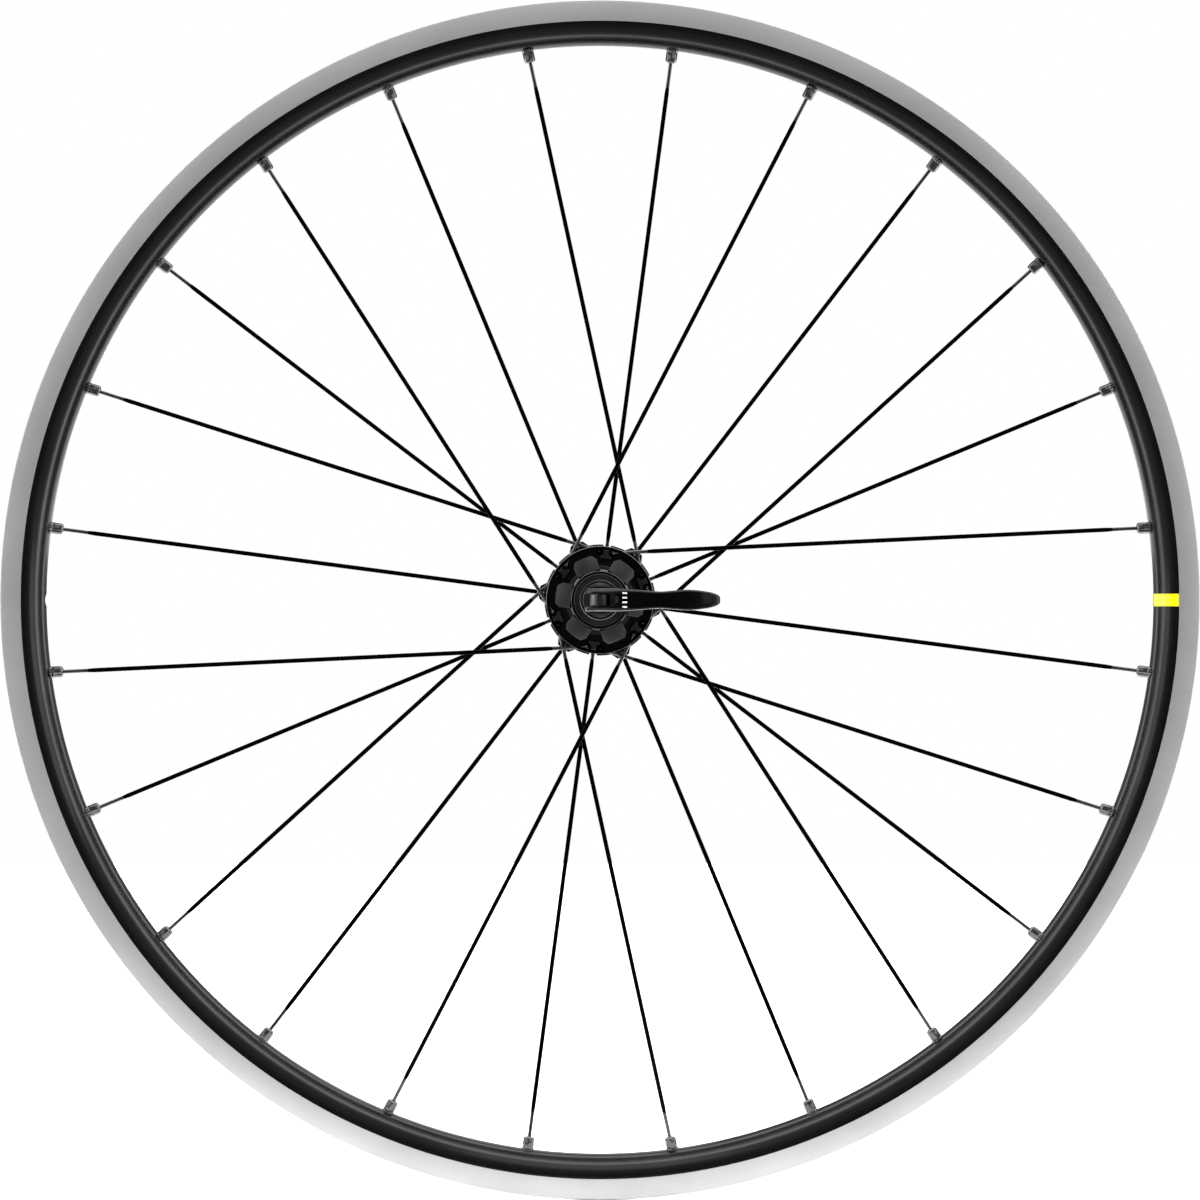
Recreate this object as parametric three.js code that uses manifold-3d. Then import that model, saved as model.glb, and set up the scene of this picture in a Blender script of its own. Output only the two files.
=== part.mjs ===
// A rear road bicycle wheel for rim brakes: 24 spokes, straight-pull hub, splined freehub with a
// face ratchet, and a quick-release skewer. Millimetres, +Z up. The axle lies along Y with the
// origin at its middle, the lever side faces -Y and the freehub side faces +Y.

import * as THREE from 'three';
import { mergeVertices } from 'three/addons/utils/BufferGeometryUtils.js';
import Module from 'manifold-3d';

const wasm = await Module();
wasm.setup();

// ---- driving dimensions ----------------------------------------------------------------------

const MOVING_GAP = 0.3;         // clearance between pieces that turn or slide past each other
const FIXED_GAP = 0.15;         // clearance that stands for a press fit in these faceted solids

const RIM_RADIUS = 317;         // outside of the flanges: a 622 mm bead seat plus 6 mm each side
const RIM_INNER_RADIUS = 292.9;
const RIM_HALF_WIDTH = 11;
const BRAKE_TRACK_DEPTH = 10.9;
const BEAD_SEAT_RADIUS = 311;
const BEAD_HALF_WIDTH = 8.5;
const TYRE_WELL_RADIUS = 308.6;
const TYRE_WELL_HALF_WIDTH = 4.8;
const VALVE_HOLE_RADIUS = 3.25;
const VALVE_ANGLE = 180;

const SPOKES_PER_SIDE = 12;     // radial on the freehub side, crossed on the lever side
const SPOKE_STEP = 360 / SPOKES_PER_SIDE;
const RADIAL_FIRST_ANGLE = 22.5;
const CROSSED_FIRST_ANGLE = 7.5;
const CROSSED_OFFSET = 24.3;    // distance from the axis to a crossed spoke's line
const SPOKE_RADIUS = 1.0;
const SPOKE_HEAD_RADIUS = 1.6;
const SPOKE_HEAD_THICKNESS = 1.4;
const BLADE_WIDTH = 2.3;
const BLADE_THICKNESS = 0.95;
const BLADE_END_RADIUS = 270;
const BLADE_TAPER = 4;
const NIPPLE_RADIUS = 2.9;
const NIPPLE_SHOW_RADIUS = 286.4;
const NIPPLE_END_RADIUS = 298.5;

const OVER_LOCKNUT = 130;       // between the faces that sit against the frame's dropouts
const AXLE_STUB = 5.5;
const AXLE_STUB_RADIUS = 5;
const AXLE_RADIUS = 6;
const AXLE_SHOULDER_RADIUS = 7;
const AXLE_BORE_RADIUS = 2.8;
const END_CAP_RADIUS = 9.5;

const LEVER_FLANGE_RADIUS = 28.4;
const LEVER_FLANGE_FRONT = -39.4;
const LEVER_FLANGE_BACK = -31;
const FREEHUB_FLANGE_RADIUS = 29.5;
const FREEHUB_FLANGE_FRONT = 14.2;
const FREEHUB_FLANGE_BACK = 20.2;
const LUG_RADIUS = 32.5;
const HUB_GROUP_STEP = 60;      // every sixth of a turn the hub repeats
const STATION_ANGLE = 22.5;     // where two crossed spokes are anchored, with a web between
const PAD_ANGLE = 52.5;         // middle of a raised pad on the lever-side face

const BEARING_BORE_RADIUS = 6;
const BEARING_OUTER_RADIUS = 12;
const BEARING_WIDTH = 6;
const BALL_RADIUS = 1.6;
const BALL_COUNT = 8;
const HUB_BEARING_LEFT = -40.2;
const HUB_BEARING_RIGHT = 8.2;
const FREEHUB_BEARING_INNER = 31;
const FREEHUB_BEARING_OUTER = 52;

const RATCHET_TEETH = 18;
const RATCHET_TOOTH_HEIGHT = 1.2;
const RATCHET_ROOT = 19;        // where the hub-side ring's teeth start
const SLIDER_LUGS = 3;
const SPRING_TURNS = 2.5;
const WIRE_RADIUS = 0.4;
const FREEHUB_START = 22.6;
const FREEHUB_END = 60.5;
const SPLINE_TOP_RADIUS = 17.4;
const SPLINE_ROOT_RADIUS = 16.1;
const SPLINE_COUNT = 9;

const DROPOUT_THICKNESS = 7;    // the frame plate that the skewer clamps on each side
const CLAMP_FACE = OVER_LOCKNUT / 2 + DROPOUT_THICKNESS;
const ROD_RADIUS = 2.5;
const ROD_END = 86;
const SADDLE_FACE = -79;        // where the lever's cam bears
const CAM_HIGH = 9.1;           // cam radius towards the saddle with the lever closed
const CAM_THROW = 2.4;          // how much less it is with the lever open
const LEVER_WIDTH = 12.3;
const FORK_SLOT_WIDTH = 6.8;
const LEVER_REACH = 62.9;
const BARREL_RADIUS = 5.2;
const PIN_RADIUS = 2;
const PIVOT = SADDLE_FACE - MOVING_GAP - CAM_HIGH;

const RIM_SEGMENTS = 48;        // how many flats stand for each kind of round
const HUB_SEGMENTS = 24;
const BEARING_SEGMENTS = 16;

// ---- finishes --------------------------------------------------------------------------------

const finish = (color, roughness, metalness) => ({ color, roughness, metalness });
const BLACK_ANODISED = finish('#1c1c1e', 0.42, 0.8);
const GREY_ANODISED = finish('#4a4a4c', 0.4, 0.85);
const BLACK_STEEL = finish('#121213', 0.38, 0.7);
const BRIGHT_STEEL = finish('#b9bcc0', 0.25, 1);
const BARE_ALUMINIUM = finish('#a9abae', 0.35, 1);
const BLACK_RUBBER = finish('#161616', 0.8, 0);
const BLACK_NYLON = finish('#1b1b1c', 0.6, 0);

// ---- small tools -----------------------------------------------------------------------------

const radians = THREE.MathUtils.degToRad;
const up = new THREE.Vector3(0, 1, 0);

// A point at an angle from +X towards +Z, at a radius from the axle and a place along it.
const polar = (angle, radius, y = 0) =>
  new THREE.Vector3(radius * Math.cos(radians(angle)), y, radius * Math.sin(radians(angle)));

const angles = (first, step, count) => Array.from({ length: count }, (_, i) => first + i * step);

// A closed outline of [radius, y] points turned about the axle.
function ring(outline, segments) {
  const points = outline.map(([r, y]) => new THREE.Vector2(r, y));
  if (THREE.ShapeUtils.isClockWise(points)) points.reverse();
  return new THREE.LatheGeometry([...points, points[0]], segments);
}

// A plain tube about the axle.
const tube = (inner, outer, from, to, segments) =>
  ring([[inner, from], [outer, from], [outer, to], [inner, to]], segments);

// A flat outline in the wheel's plane, given as [x, z] points, made solid between two places on Y.
function plate(outline, from, to) {
  const shape = new THREE.Shape(outline.map(([x, z]) => new THREE.Vector2(x, -z)));
  const geometry = new THREE.ExtrudeGeometry(shape, { depth: to - from, bevelEnabled: false });
  return geometry.rotateX(-Math.PI / 2).translate(0, from, 0);
}

// The same for an outline given as [radius, angle] points.
const polarPlate = (outline, from, to) =>
  plate(outline.map(([r, a]) => [r * Math.cos(radians(a)), r * Math.sin(radians(a))]), from, to);

// A round bar between two points.
function bar(start, end, radius, sides) {
  const along = end.clone().sub(start);
  const geometry = new THREE.CylinderGeometry(radius, radius, along.length(), sides);
  geometry.applyQuaternion(new THREE.Quaternion().setFromUnitVectors(up, along.normalize()));
  return geometry.translate(...start.clone().add(end).multiplyScalar(0.5).toArray());
}

// A mesh's triangles as a solid that can be joined and cut.
function solid(geometry) {
  const bare = geometry.clone();
  bare.deleteAttribute('normal');
  bare.deleteAttribute('uv');
  const merged = mergeVertices(bare, 1e-4);
  const corners = merged.index.array;
  const triangles = [];
  for (let i = 0; i < corners.length; i += 3) {
    const [a, b, c] = [corners[i], corners[i + 1], corners[i + 2]];
    if (a !== b && b !== c && c !== a) triangles.push(a, b, c);
  }
  return new wasm.Manifold(new wasm.Mesh({
    numProp: 3,
    vertProperties: new Float32Array(merged.attributes.position.array),
    triVerts: new Uint32Array(triangles),
  }));
}

const joined = (first, ...others) => others.reduce((whole, piece) => whole.add(solid(piece)), solid(first));
const cut = (body, tools) => tools.reduce((whole, tool) => whole.subtract(solid(tool)), body);

function geometryOf(body) {
  const mesh = body.getMesh();
  const geometry = new THREE.BufferGeometry();
  geometry.setAttribute('position', new THREE.BufferAttribute(mesh.vertProperties, 3));
  geometry.setIndex(new THREE.BufferAttribute(mesh.triVerts, 1));
  geometry.computeVertexNormals();
  return geometry;
}

function add(group, name, shape, look) {
  const geometry = shape instanceof THREE.BufferGeometry ? shape : geometryOf(shape);
  const mesh = new THREE.Mesh(geometry, new THREE.MeshStandardMaterial(look));
  mesh.name = name;
  group.add(mesh);
  return mesh;
}

// ---- spokes ----------------------------------------------------------------------------------

// Each spoke is a straight line from its head in the hub to its nipple in the rim.
function radialSpoke(angle, raised) {
  const headRadius = raised ? 30.2 : 27.2;
  const head = polar(angle, headRadius, 17.2);
  const seat = polar(angle, RIM_INNER_RADIUS, 0);
  return { head, seat, bladeFrom: 33 - headRadius + 2 };
}

function crossedSpoke(nippleAngle, turn, headY) {
  const fromHead = 8.5;
  const toSeat = Math.sqrt(RIM_INNER_RADIUS ** 2 - CROSSED_OFFSET ** 2);
  const seatAngle = THREE.MathUtils.radToDeg(Math.acos(CROSSED_OFFSET / RIM_INNER_RADIUS));
  const footAngle = nippleAngle + turn * seatAngle;
  const foot = polar(footAngle, CROSSED_OFFSET);
  const towardsRim = polar(footAngle - turn * 90, 1);
  const head = foot.clone().addScaledVector(towardsRim, fromHead).setY(headY);
  const seat = foot.clone().addScaledVector(towardsRim, toSeat).setY(0);
  return { head, seat, bladeFrom: 21 };
}

function allSpokes() {
  const spokes = [];
  angles(RADIAL_FIRST_ANGLE, SPOKE_STEP, SPOKES_PER_SIDE).forEach((angle, i) => {
    spokes.push({ name: `radial_spoke_${i + 1}`, ...radialSpoke(angle, i % 2 === 1) });
  });
  angles(CROSSED_FIRST_ANGLE, SPOKE_STEP, SPOKES_PER_SIDE).forEach((angle, i) => {
    const turn = i % 2 === 0 ? 1 : -1;
    const headY = turn > 0 ? -37.1 : -34.4;
    spokes.push({ name: `crossed_spoke_${i + 1}`, ...crossedSpoke(angle, turn, headY) });
  });
  return spokes.map((spoke) => {
    const direction = spoke.seat.clone().sub(spoke.head);
    const length = direction.length();
    return { ...spoke, length, direction: direction.normalize() };
  });
}

// Head, round neck, flat blade, round end and nipple in one turned piece with a flattened middle.
function spokeGeometry({ length, bladeFrom }) {
  const past = (radius) => length + radius - RIM_INNER_RADIUS;
  const bladeTo = past(BLADE_END_RADIUS);
  const nippleFrom = past(NIPPLE_SHOW_RADIUS);
  const nippleTo = past(NIPPLE_END_RADIUS);
  const outline = [
    [0, -SPOKE_HEAD_THICKNESS],
    [SPOKE_HEAD_RADIUS, -SPOKE_HEAD_THICKNESS],
    [SPOKE_HEAD_RADIUS, 0],
    [SPOKE_RADIUS, 0],
    [SPOKE_RADIUS, bladeFrom - BLADE_TAPER],
    [SPOKE_RADIUS, bladeFrom],
    [SPOKE_RADIUS, bladeTo],
    [SPOKE_RADIUS, bladeTo + BLADE_TAPER],
    [SPOKE_RADIUS, nippleFrom],
    [NIPPLE_RADIUS, nippleFrom + 0.6],
    [NIPPLE_RADIUS, nippleTo],
    [0, nippleTo],
  ];
  const geometry = new THREE.LatheGeometry(outline.map(([r, y]) => new THREE.Vector2(r, y)), 6);
  const places = geometry.attributes.position;
  for (let i = 0; i < places.count; i += 1) {
    const y = places.getY(i);
    if (y < bladeFrom - 0.1 || y > bladeTo + 0.1) continue;
    places.setX(i, places.getX(i) * BLADE_WIDTH / 2 / SPOKE_RADIUS);
    places.setZ(i, places.getZ(i) * BLADE_THICKNESS / 2 / SPOKE_RADIUS);
  }
  return geometry;
}

function addSpokes(group, spokes) {
  for (const spoke of spokes) {
    const mesh = add(group, spoke.name, spokeGeometry(spoke), BLACK_STEEL);
    const across = spoke.direction.clone().cross(up).normalize();
    const through = across.clone().cross(spoke.direction);
    mesh.position.copy(spoke.head);
    mesh.quaternion.setFromRotationMatrix(new THREE.Matrix4().makeBasis(across, spoke.direction, through));
  }
}

// ---- rim -------------------------------------------------------------------------------------

const mirrored = (half) => [...half.map(([y, r]) => [r, y]), ...half.map(([y, r]) => [r, -y]).reverse()];

function rimBody(spokes) {
  const w = RIM_HALF_WIDTH;
  const outside = mirrored([
    [5.4, RIM_INNER_RADIUS + 0.6],
    [9.3, 297.4],
    [w - 0.3, 302],
    [w, RIM_RADIUS - BRAKE_TRACK_DEPTH],
    [w, RIM_RADIUS],
    [BEAD_HALF_WIDTH - 0.5, RIM_RADIUS],
    [BEAD_HALF_WIDTH, RIM_RADIUS - 3],
    [BEAD_HALF_WIDTH, BEAD_SEAT_RADIUS],
    [TYRE_WELL_HALF_WIDTH, TYRE_WELL_RADIUS],
  ]);
  const chamber = mirrored([[4.6, 294.7], [w - 1.9, 301], [w - 1.7, 306.8]]);
  const body = cut(solid(ring(outside, RIM_SEGMENTS)), [ring(chamber, RIM_SEGMENTS)]);
  const nippleHoles = spokes.map(({ seat, direction }) => bar(
    seat.clone().addScaledVector(direction, -3),
    seat.clone().addScaledVector(direction, 5),
    NIPPLE_RADIUS + 0.6,
    6,
  ));
  const valveHole = bar(polar(VALVE_ANGLE, 288), polar(VALVE_ANGLE, 320), VALVE_HOLE_RADIUS, 10);
  return cut(body, [...nippleHoles, valveHole]);
}

// ---- hub shell -------------------------------------------------------------------------------

function shellBlank() {
  return solid(ring([
    [14.3, -43],
    [14.3, -40.6],
    [BEARING_OUTER_RADIUS + FIXED_GAP, -40.6],
    [BEARING_OUTER_RADIUS + FIXED_GAP, -34],
    [10, -34],
    [10, 8],
    [BEARING_OUTER_RADIUS + FIXED_GAP, 8],
    [BEARING_OUTER_RADIUS + FIXED_GAP, 14.6],
    [17.3, 14.6],
    [17.3, 21.5],
    [19.5, 21.5],
    [20, FREEHUB_FLANGE_BACK],
    [FREEHUB_FLANGE_RADIUS, FREEHUB_FLANGE_BACK],
    [FREEHUB_FLANGE_RADIUS, FREEHUB_FLANGE_FRONT],
    [24.5, FREEHUB_FLANGE_FRONT],
    [17, 12.2],
    [13, 5],
    [13, -20],
    [14.8, -26],
    [20.5, LEVER_FLANGE_BACK + 1],
    [LEVER_FLANGE_RADIUS, LEVER_FLANGE_BACK],
    [LEVER_FLANGE_RADIUS, LEVER_FLANGE_FRONT],
    [27.5, LEVER_FLANGE_FRONT],
    [27, -38],
    [15.9, -38.6],
    [15.2, -43],
  ], HUB_SEGMENTS));
}

// Six grey pads on the lever-side face, each a hexagon with a sloping top.
function pads() {
  const slopingRing = solid(ring(
    [[15.4, -37.8], [23.1, -37.2], [23.1, -40.5], [15.4, -42.6]],
    HUB_SEGMENTS,
  ));
  const outlines = angles(PAD_ANGLE, HUB_GROUP_STEP, 6).map((a) => polarPlate([
    [15, a - 21],
    [19.6, a - 21],
    [23.4, a - 12],
    [23.4, a + 12],
    [19.6, a + 21],
    [15, a + 21],
  ], -43, -37));
  return slopingRing.intersect(joined(...outlines));
}

// The web between the two spoke heads of each station.
const webs = () => angles(STATION_ANGLE, HUB_GROUP_STEP, 6).map((a) =>
  polarPlate([[22.3, a - 7], [26.5, a - 6], [26.5, a + 6], [22.3, a + 7]], -39.2, -36));

// Raised lugs hold every other radial spoke further out on the freehub side.
const lugs = () => angles(PAD_ANGLE, HUB_GROUP_STEP, 6).map((a) => polarPlate(
  [[26, a - 11], [29.4, a - 11], [LUG_RADIUS, a - 6], [LUG_RADIUS, a + 6], [29.4, a + 11], [26, a + 11]],
  FREEHUB_FLANGE_FRONT,
  FREEHUB_FLANGE_BACK,
));

const notches = () => angles(STATION_ANGLE, HUB_GROUP_STEP, 6).map((a) =>
  polarPlate([[28.5, a - 3.5], [31, a - 5], [31, a + 5], [28.5, a + 3.5]], 13, 21.4));

// A spoke leaves through a tunnel, and its head sits in a pocket open to the lever side.
function spokeHoles(spokes) {
  return spokes.flatMap(({ head, direction }) => {
    const middle = head.clone().addScaledVector(direction, -SPOKE_HEAD_THICKNESS / 2);
    const mouth = middle.y < 0 ? -45 : FREEHUB_FLANGE_FRONT - 2;
    const floor = middle.y + SPOKE_HEAD_RADIUS + 0.35;
    const pocket = bar(middle.clone().setY(mouth), middle.clone().setY(floor), 2.2, 6);
    const reach = middle.y < 0 ? 22 : 8;
    const tunnel = bar(middle, head.clone().addScaledVector(direction, reach), SPOKE_RADIUS + 0.5, 6);
    return [pocket, tunnel];
  });
}

function hubShell(spokes) {
  let body = shellBlank().add(pads());
  for (const piece of [...webs(), ...lugs()]) body = body.add(solid(piece));
  return cut(body, [...notches(), ...spokeHoles(spokes)]);
}

// ---- bearings --------------------------------------------------------------------------------

// Outer race, inner race and the balls in their cage, from y to y + the bearing's width.
function addBearing(group, name, y) {
  const [a, b, middle] = [y, y + BEARING_WIDTH, y + BEARING_WIDTH / 2];
  const outer = ring([
    [10.5, a],
    [BEARING_OUTER_RADIUS, a],
    [BEARING_OUTER_RADIUS, b],
    [10.5, b],
    [11, middle],
  ], BEARING_SEGMENTS);
  const inner = ring([
    [BEARING_BORE_RADIUS + FIXED_GAP, a],
    [7.5, a],
    [7, middle],
    [7.5, b],
    [BEARING_BORE_RADIUS + FIXED_GAP, b],
  ], BEARING_SEGMENTS);
  const pitchRadius = 9;
  const cage = tube(8.2, 9.8, middle - 0.8, middle + 0.8, BEARING_SEGMENTS);
  const balls = angles(0, 360 / BALL_COUNT, BALL_COUNT).map((angle) =>
    new THREE.OctahedronGeometry(BALL_RADIUS).translate(...polar(angle, pitchRadius, middle).toArray()));
  add(group, `${name}_outer_race`, outer, BRIGHT_STEEL);
  add(group, `${name}_inner_race`, inner, BRIGHT_STEEL);
  add(group, `${name}_ball_cage`, joined(cage, ...balls), BRIGHT_STEEL);
}

// ---- axle and end caps -----------------------------------------------------------------------

function axle() {
  const stubEnd = OVER_LOCKNUT / 2 + AXLE_STUB;
  const stubStart = OVER_LOCKNUT / 2 - 6;
  return ring([
    [AXLE_BORE_RADIUS, -stubEnd],
    [AXLE_STUB_RADIUS, -stubEnd],
    [AXLE_STUB_RADIUS, -stubStart],
    [AXLE_RADIUS, -stubStart],
    [AXLE_RADIUS, -33.9],
    [AXLE_SHOULDER_RADIUS, -33.9],
    [AXLE_SHOULDER_RADIUS, 7.9],
    [AXLE_RADIUS, 7.9],
    [AXLE_RADIUS, stubStart],
    [AXLE_STUB_RADIUS, stubStart],
    [AXLE_STUB_RADIUS, stubEnd],
    [AXLE_BORE_RADIUS, stubEnd],
  ], 24);
}

// Each cap carries the dropout face and presses on the inner race beside it.
function leftEndCap() {
  const face = -OVER_LOCKNUT / 2;
  return ring([
    [AXLE_STUB_RADIUS + MOVING_GAP, face],
    [END_CAP_RADIUS, face],
    [END_CAP_RADIUS, face + 6],
    [8.3, face + 7.5],
    [8.3, -47],
    [13.6, -45.6],
    [13.6, -43.6],
    [7.7, -43.6],
    [7.7, HUB_BEARING_LEFT - FIXED_GAP],
    [AXLE_RADIUS + FIXED_GAP, HUB_BEARING_LEFT - FIXED_GAP],
    [AXLE_RADIUS + FIXED_GAP, face + 5.7],
    [AXLE_STUB_RADIUS + MOVING_GAP, face + 5.7],
  ], 24);
}

function rightEndCap() {
  const face = OVER_LOCKNUT / 2;
  const start = FREEHUB_BEARING_OUTER + BEARING_WIDTH + FIXED_GAP;
  return ring([
    [AXLE_RADIUS + FIXED_GAP, start],
    [7.4, start],
    [7.4, 59.2],
    [11.4, 59.2],
    [11.4, 60.6],
    [END_CAP_RADIUS, 61.4],
    [END_CAP_RADIUS, face],
    [AXLE_STUB_RADIUS + MOVING_GAP, face],
    [AXLE_STUB_RADIUS + MOVING_GAP, face - 5.7],
    [AXLE_RADIUS + FIXED_GAP, face - 5.7],
  ], 24);
}

const leftDustSeal = () => ring([
  [8.1, -43.1],
  [13.9, -43.1],
  [13.9, -41],
  [12.2, -40.8],
  [8.1, -41.6],
], 24);

// A tube that keeps two bearings apart, given where each bearing starts.
const bearingSpacer = (first, second) =>
  tube(AXLE_RADIUS + FIXED_GAP, 7.6, first + BEARING_WIDTH + FIXED_GAP, second - FIXED_GAP, BEARING_SEGMENTS);

// ---- ratchet and freehub ---------------------------------------------------------------------

// Saw teeth standing on a ring's face: each is a ramp that rises round the axle to a steep side.
function ratchetTeeth(rootY, direction) {
  const [innerRadius, outerRadius, width] = [10, 13.4, 3.1];
  const foot = -0.3 * direction;
  return angles(0, 360 / RATCHET_TEETH, RATCHET_TEETH).map((angle) => {
    const steep = direction * width / 2;
    const height = direction * RATCHET_TOOTH_HEIGHT;
    const shape = new THREE.Shape([
      new THREE.Vector2(-steep, foot),
      new THREE.Vector2(steep, foot),
      new THREE.Vector2(steep, height),
      new THREE.Vector2(-steep, 0),
    ]);
    const tooth = new THREE.ExtrudeGeometry(shape, { depth: outerRadius - innerRadius, bevelEnabled: false });
    return tooth.translate(0, rootY, innerRadius).rotateY(radians(angle));
  });
}

function hubRatchetRing() {
  const blank = tube(9.5, 17, RATCHET_ROOT - 4, RATCHET_ROOT, HUB_SEGMENTS);
  return joined(blank, ...ratchetTeeth(RATCHET_ROOT, 1));
}

const RING_ROOT = RATCHET_ROOT + 2 * RATCHET_TOOTH_HEIGHT + MOVING_GAP;

// Lugs on the sliding ring run in grooves inside the freehub.
function sliderLugs(outer, half, from, to) {
  return angles(0, 360 / SLIDER_LUGS, SLIDER_LUGS).map((a) =>
    polarPlate([[12, a - half], [outer, a - half], [outer, a + half], [12, a + half]], from, to));
}

function slidingRatchetRing() {
  const blank = tube(9.5, 13.5, RING_ROOT, RING_ROOT + 3.6, HUB_SEGMENTS);
  const lugs = sliderLugs(14.5, 8, RING_ROOT + 1.4, RING_ROOT + 3.6);
  return joined(blank, ...ratchetTeeth(RING_ROOT, -1), ...lugs);
}

// Nine splines on the outside carry the sprockets; one groove is narrower so they fit one way only.
function freehubBody() {
  const step = 360 / SPLINE_COUNT;
  const outline = angles(0, step, SPLINE_COUNT).flatMap((a, i) => {
    const toothEnd = a + step * (i === 0 ? 0.62 : 0.5);
    return [
      [SPLINE_TOP_RADIUS, a],
      [SPLINE_TOP_RADIUS + 0.1, (a + toothEnd) / 2],
      [SPLINE_TOP_RADIUS, toothEnd],
      [SPLINE_ROOT_RADIUS, toothEnd + 1.5],
      [SPLINE_ROOT_RADIUS, a + step - 1.5],
    ];
  });
  const splines = polarPlate(outline, FREEHUB_START + 1.4, FREEHUB_END);
  const collar = tube(11.5, 18.4, FREEHUB_START, FREEHUB_START + 2, HUB_SEGMENTS);
  const bore = ring([
    [0, FREEHUB_START - 1],
    [14, FREEHUB_START - 1],
    [14, 30],
    [11.2, 30],
    [11.2, FREEHUB_BEARING_INNER - 0.2],
    [12.15, FREEHUB_BEARING_INNER - 0.2],
    [12.15, FREEHUB_BEARING_INNER + BEARING_WIDTH],
    [11.2, FREEHUB_BEARING_INNER + BEARING_WIDTH],
    [11.2, FREEHUB_BEARING_OUTER - 0.2],
    [12.15, FREEHUB_BEARING_OUTER - 0.2],
    [12.15, FREEHUB_END + 1],
    [0, FREEHUB_END + 1],
  ], BEARING_SEGMENTS + 8);
  return cut(joined(splines, collar), [bore, ...sliderLugs(14.9, 9.5, FREEHUB_START - 1, 29.6)]);
}

const freehubSeal = () => ring([[14.6, 21.9], [17.2, 21.7], [17.2, 22.3], [14.6, 22.3]], 28);

// ---- springs ---------------------------------------------------------------------------------

// A wire wound about the axle from one radius and place to another.
class Coil extends THREE.Curve {
  constructor(radii, ends) {
    super();
    this.radii = radii;
    this.ends = ends;
  }

  getPoint(t) {
    const mix = THREE.MathUtils.lerp;
    return polar(360 * SPRING_TURNS * t, mix(...this.radii, t), mix(...this.ends, t));
  }
}

function spring(radii, ends) {
  const section = new THREE.Shape(angles(0, 72, 5).map((a) =>
    new THREE.Vector2(WIRE_RADIUS * Math.cos(radians(a)), WIRE_RADIUS * Math.sin(radians(a)))));
  return new THREE.ExtrudeGeometry(section, {
    steps: SPRING_TURNS * 10,
    bevelEnabled: false,
    extrudePath: new Coil(radii, ends),
  });
}

// ---- quick release ---------------------------------------------------------------------------

function skewerRod() {
  const rod = new THREE.CylinderGeometry(ROD_RADIUS, ROD_RADIUS, ROD_END - PIVOT, 16);
  rod.translate(0, (ROD_END + PIVOT) / 2, 0);
  const halfLength = FORK_SLOT_WIDTH / 2 - MOVING_GAP;
  const barrel = bar(
    new THREE.Vector3(0, PIVOT, -halfLength),
    new THREE.Vector3(0, PIVOT, halfLength),
    BARREL_RADIUS,
    20,
  );
  return cut(joined(rod, barrel), [pinBar(halfLength + 1, PIN_RADIUS + MOVING_GAP)]);
}

const pinBar = (halfLength, radius) => bar(
  new THREE.Vector3(0, PIVOT, -halfLength),
  new THREE.Vector3(0, PIVOT, halfLength),
  radius,
  16,
);

// The lever seen from above, as [x, y from the pivot]. Its cam is a spiral that loses the throw
// over half a turn, so the rod moves evenly as the lever swings.
function leverSide() {
  const cam = angles(90, 15, 13).map((a) => {
    const radius = CAM_HIGH - CAM_THROW * (a - 90) / 180;
    return [radius * Math.cos(radians(a)), radius * Math.sin(radians(a))];
  });
  return [
    ...cam,
    [10, -6.6],
    [22, -7.9],
    [34, -8.6],
    [46, -7.6],
    [57, -4.4],
    [LEVER_REACH, -0.8],
    [LEVER_REACH - 0.6, 0.8],
    [56, -0.6],
    [46, -2.6],
    [34, -3.2],
    [22, -1.6],
    [13, 2.2],
    [7, 6.6],
  ];
}

// The lever seen from the lever side, as [x, half its width].
const LEVER_PLAN = [
  [-9, LEVER_WIDTH / 2],
  [8, LEVER_WIDTH / 2],
  [21, 5.2],
  [32, 4.4],
  [38, 4.9],
  [45, 5.45],
  [52, 5],
  [58.6, 3.85],
  [61.6, 2.7],
  [LEVER_REACH, 1.2],
];

function lever() {
  const side = new THREE.Shape(leverSide().map(([x, y]) => new THREE.Vector2(x, y)));
  const block = new THREE.ExtrudeGeometry(side, { depth: LEVER_WIDTH, bevelEnabled: false });
  block.translate(0, PIVOT, -LEVER_WIDTH / 2);
  const outline = [...LEVER_PLAN, ...LEVER_PLAN.map(([x, z]) => [x, -z]).reverse()];
  const plan = plate(outline, PIVOT - 12, PIVOT + 12);
  const slot = new THREE.BoxGeometry(18, 30, FORK_SLOT_WIDTH).translate(-1.1, PIVOT, 0);
  return cut(solid(block).intersect(solid(plan)), [slot, pinBar(LEVER_WIDTH, PIN_RADIUS + MOVING_GAP)]);
}

// A metal cup clamps the frame, and a plastic saddle in it carries the lever's cam.
const camCup = () => ring([
  [7.6, -CLAMP_FACE],
  [7.6, -CLAMP_FACE - 2.4],
  [ROD_RADIUS + MOVING_GAP, -CLAMP_FACE - 2.4],
  [ROD_RADIUS + MOVING_GAP, -CLAMP_FACE - 4],
  [9.3, -CLAMP_FACE - 4],
  [9.3, SADDLE_FACE + 0.2],
  [10, SADDLE_FACE + 0.2],
  [10.5, SADDLE_FACE + 0.8],
  [10.5, -CLAMP_FACE],
], 24);

function camSaddle() {
  const disc = tube(ROD_RADIUS + MOVING_GAP, 9, SADDLE_FACE, -CLAMP_FACE - 4 - MOVING_GAP, 32);
  const cheekTop = SADDLE_FACE - 2.6;
  const collar = solid(tube(5, 9, cheekTop, SADDLE_FACE + 1, 32));
  const room = new THREE.BoxGeometry(24, 8, LEVER_WIDTH + 0.8).translate(0, SADDLE_FACE - 4, 0);
  return solid(disc).add(cut(collar, [room]));
}

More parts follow.
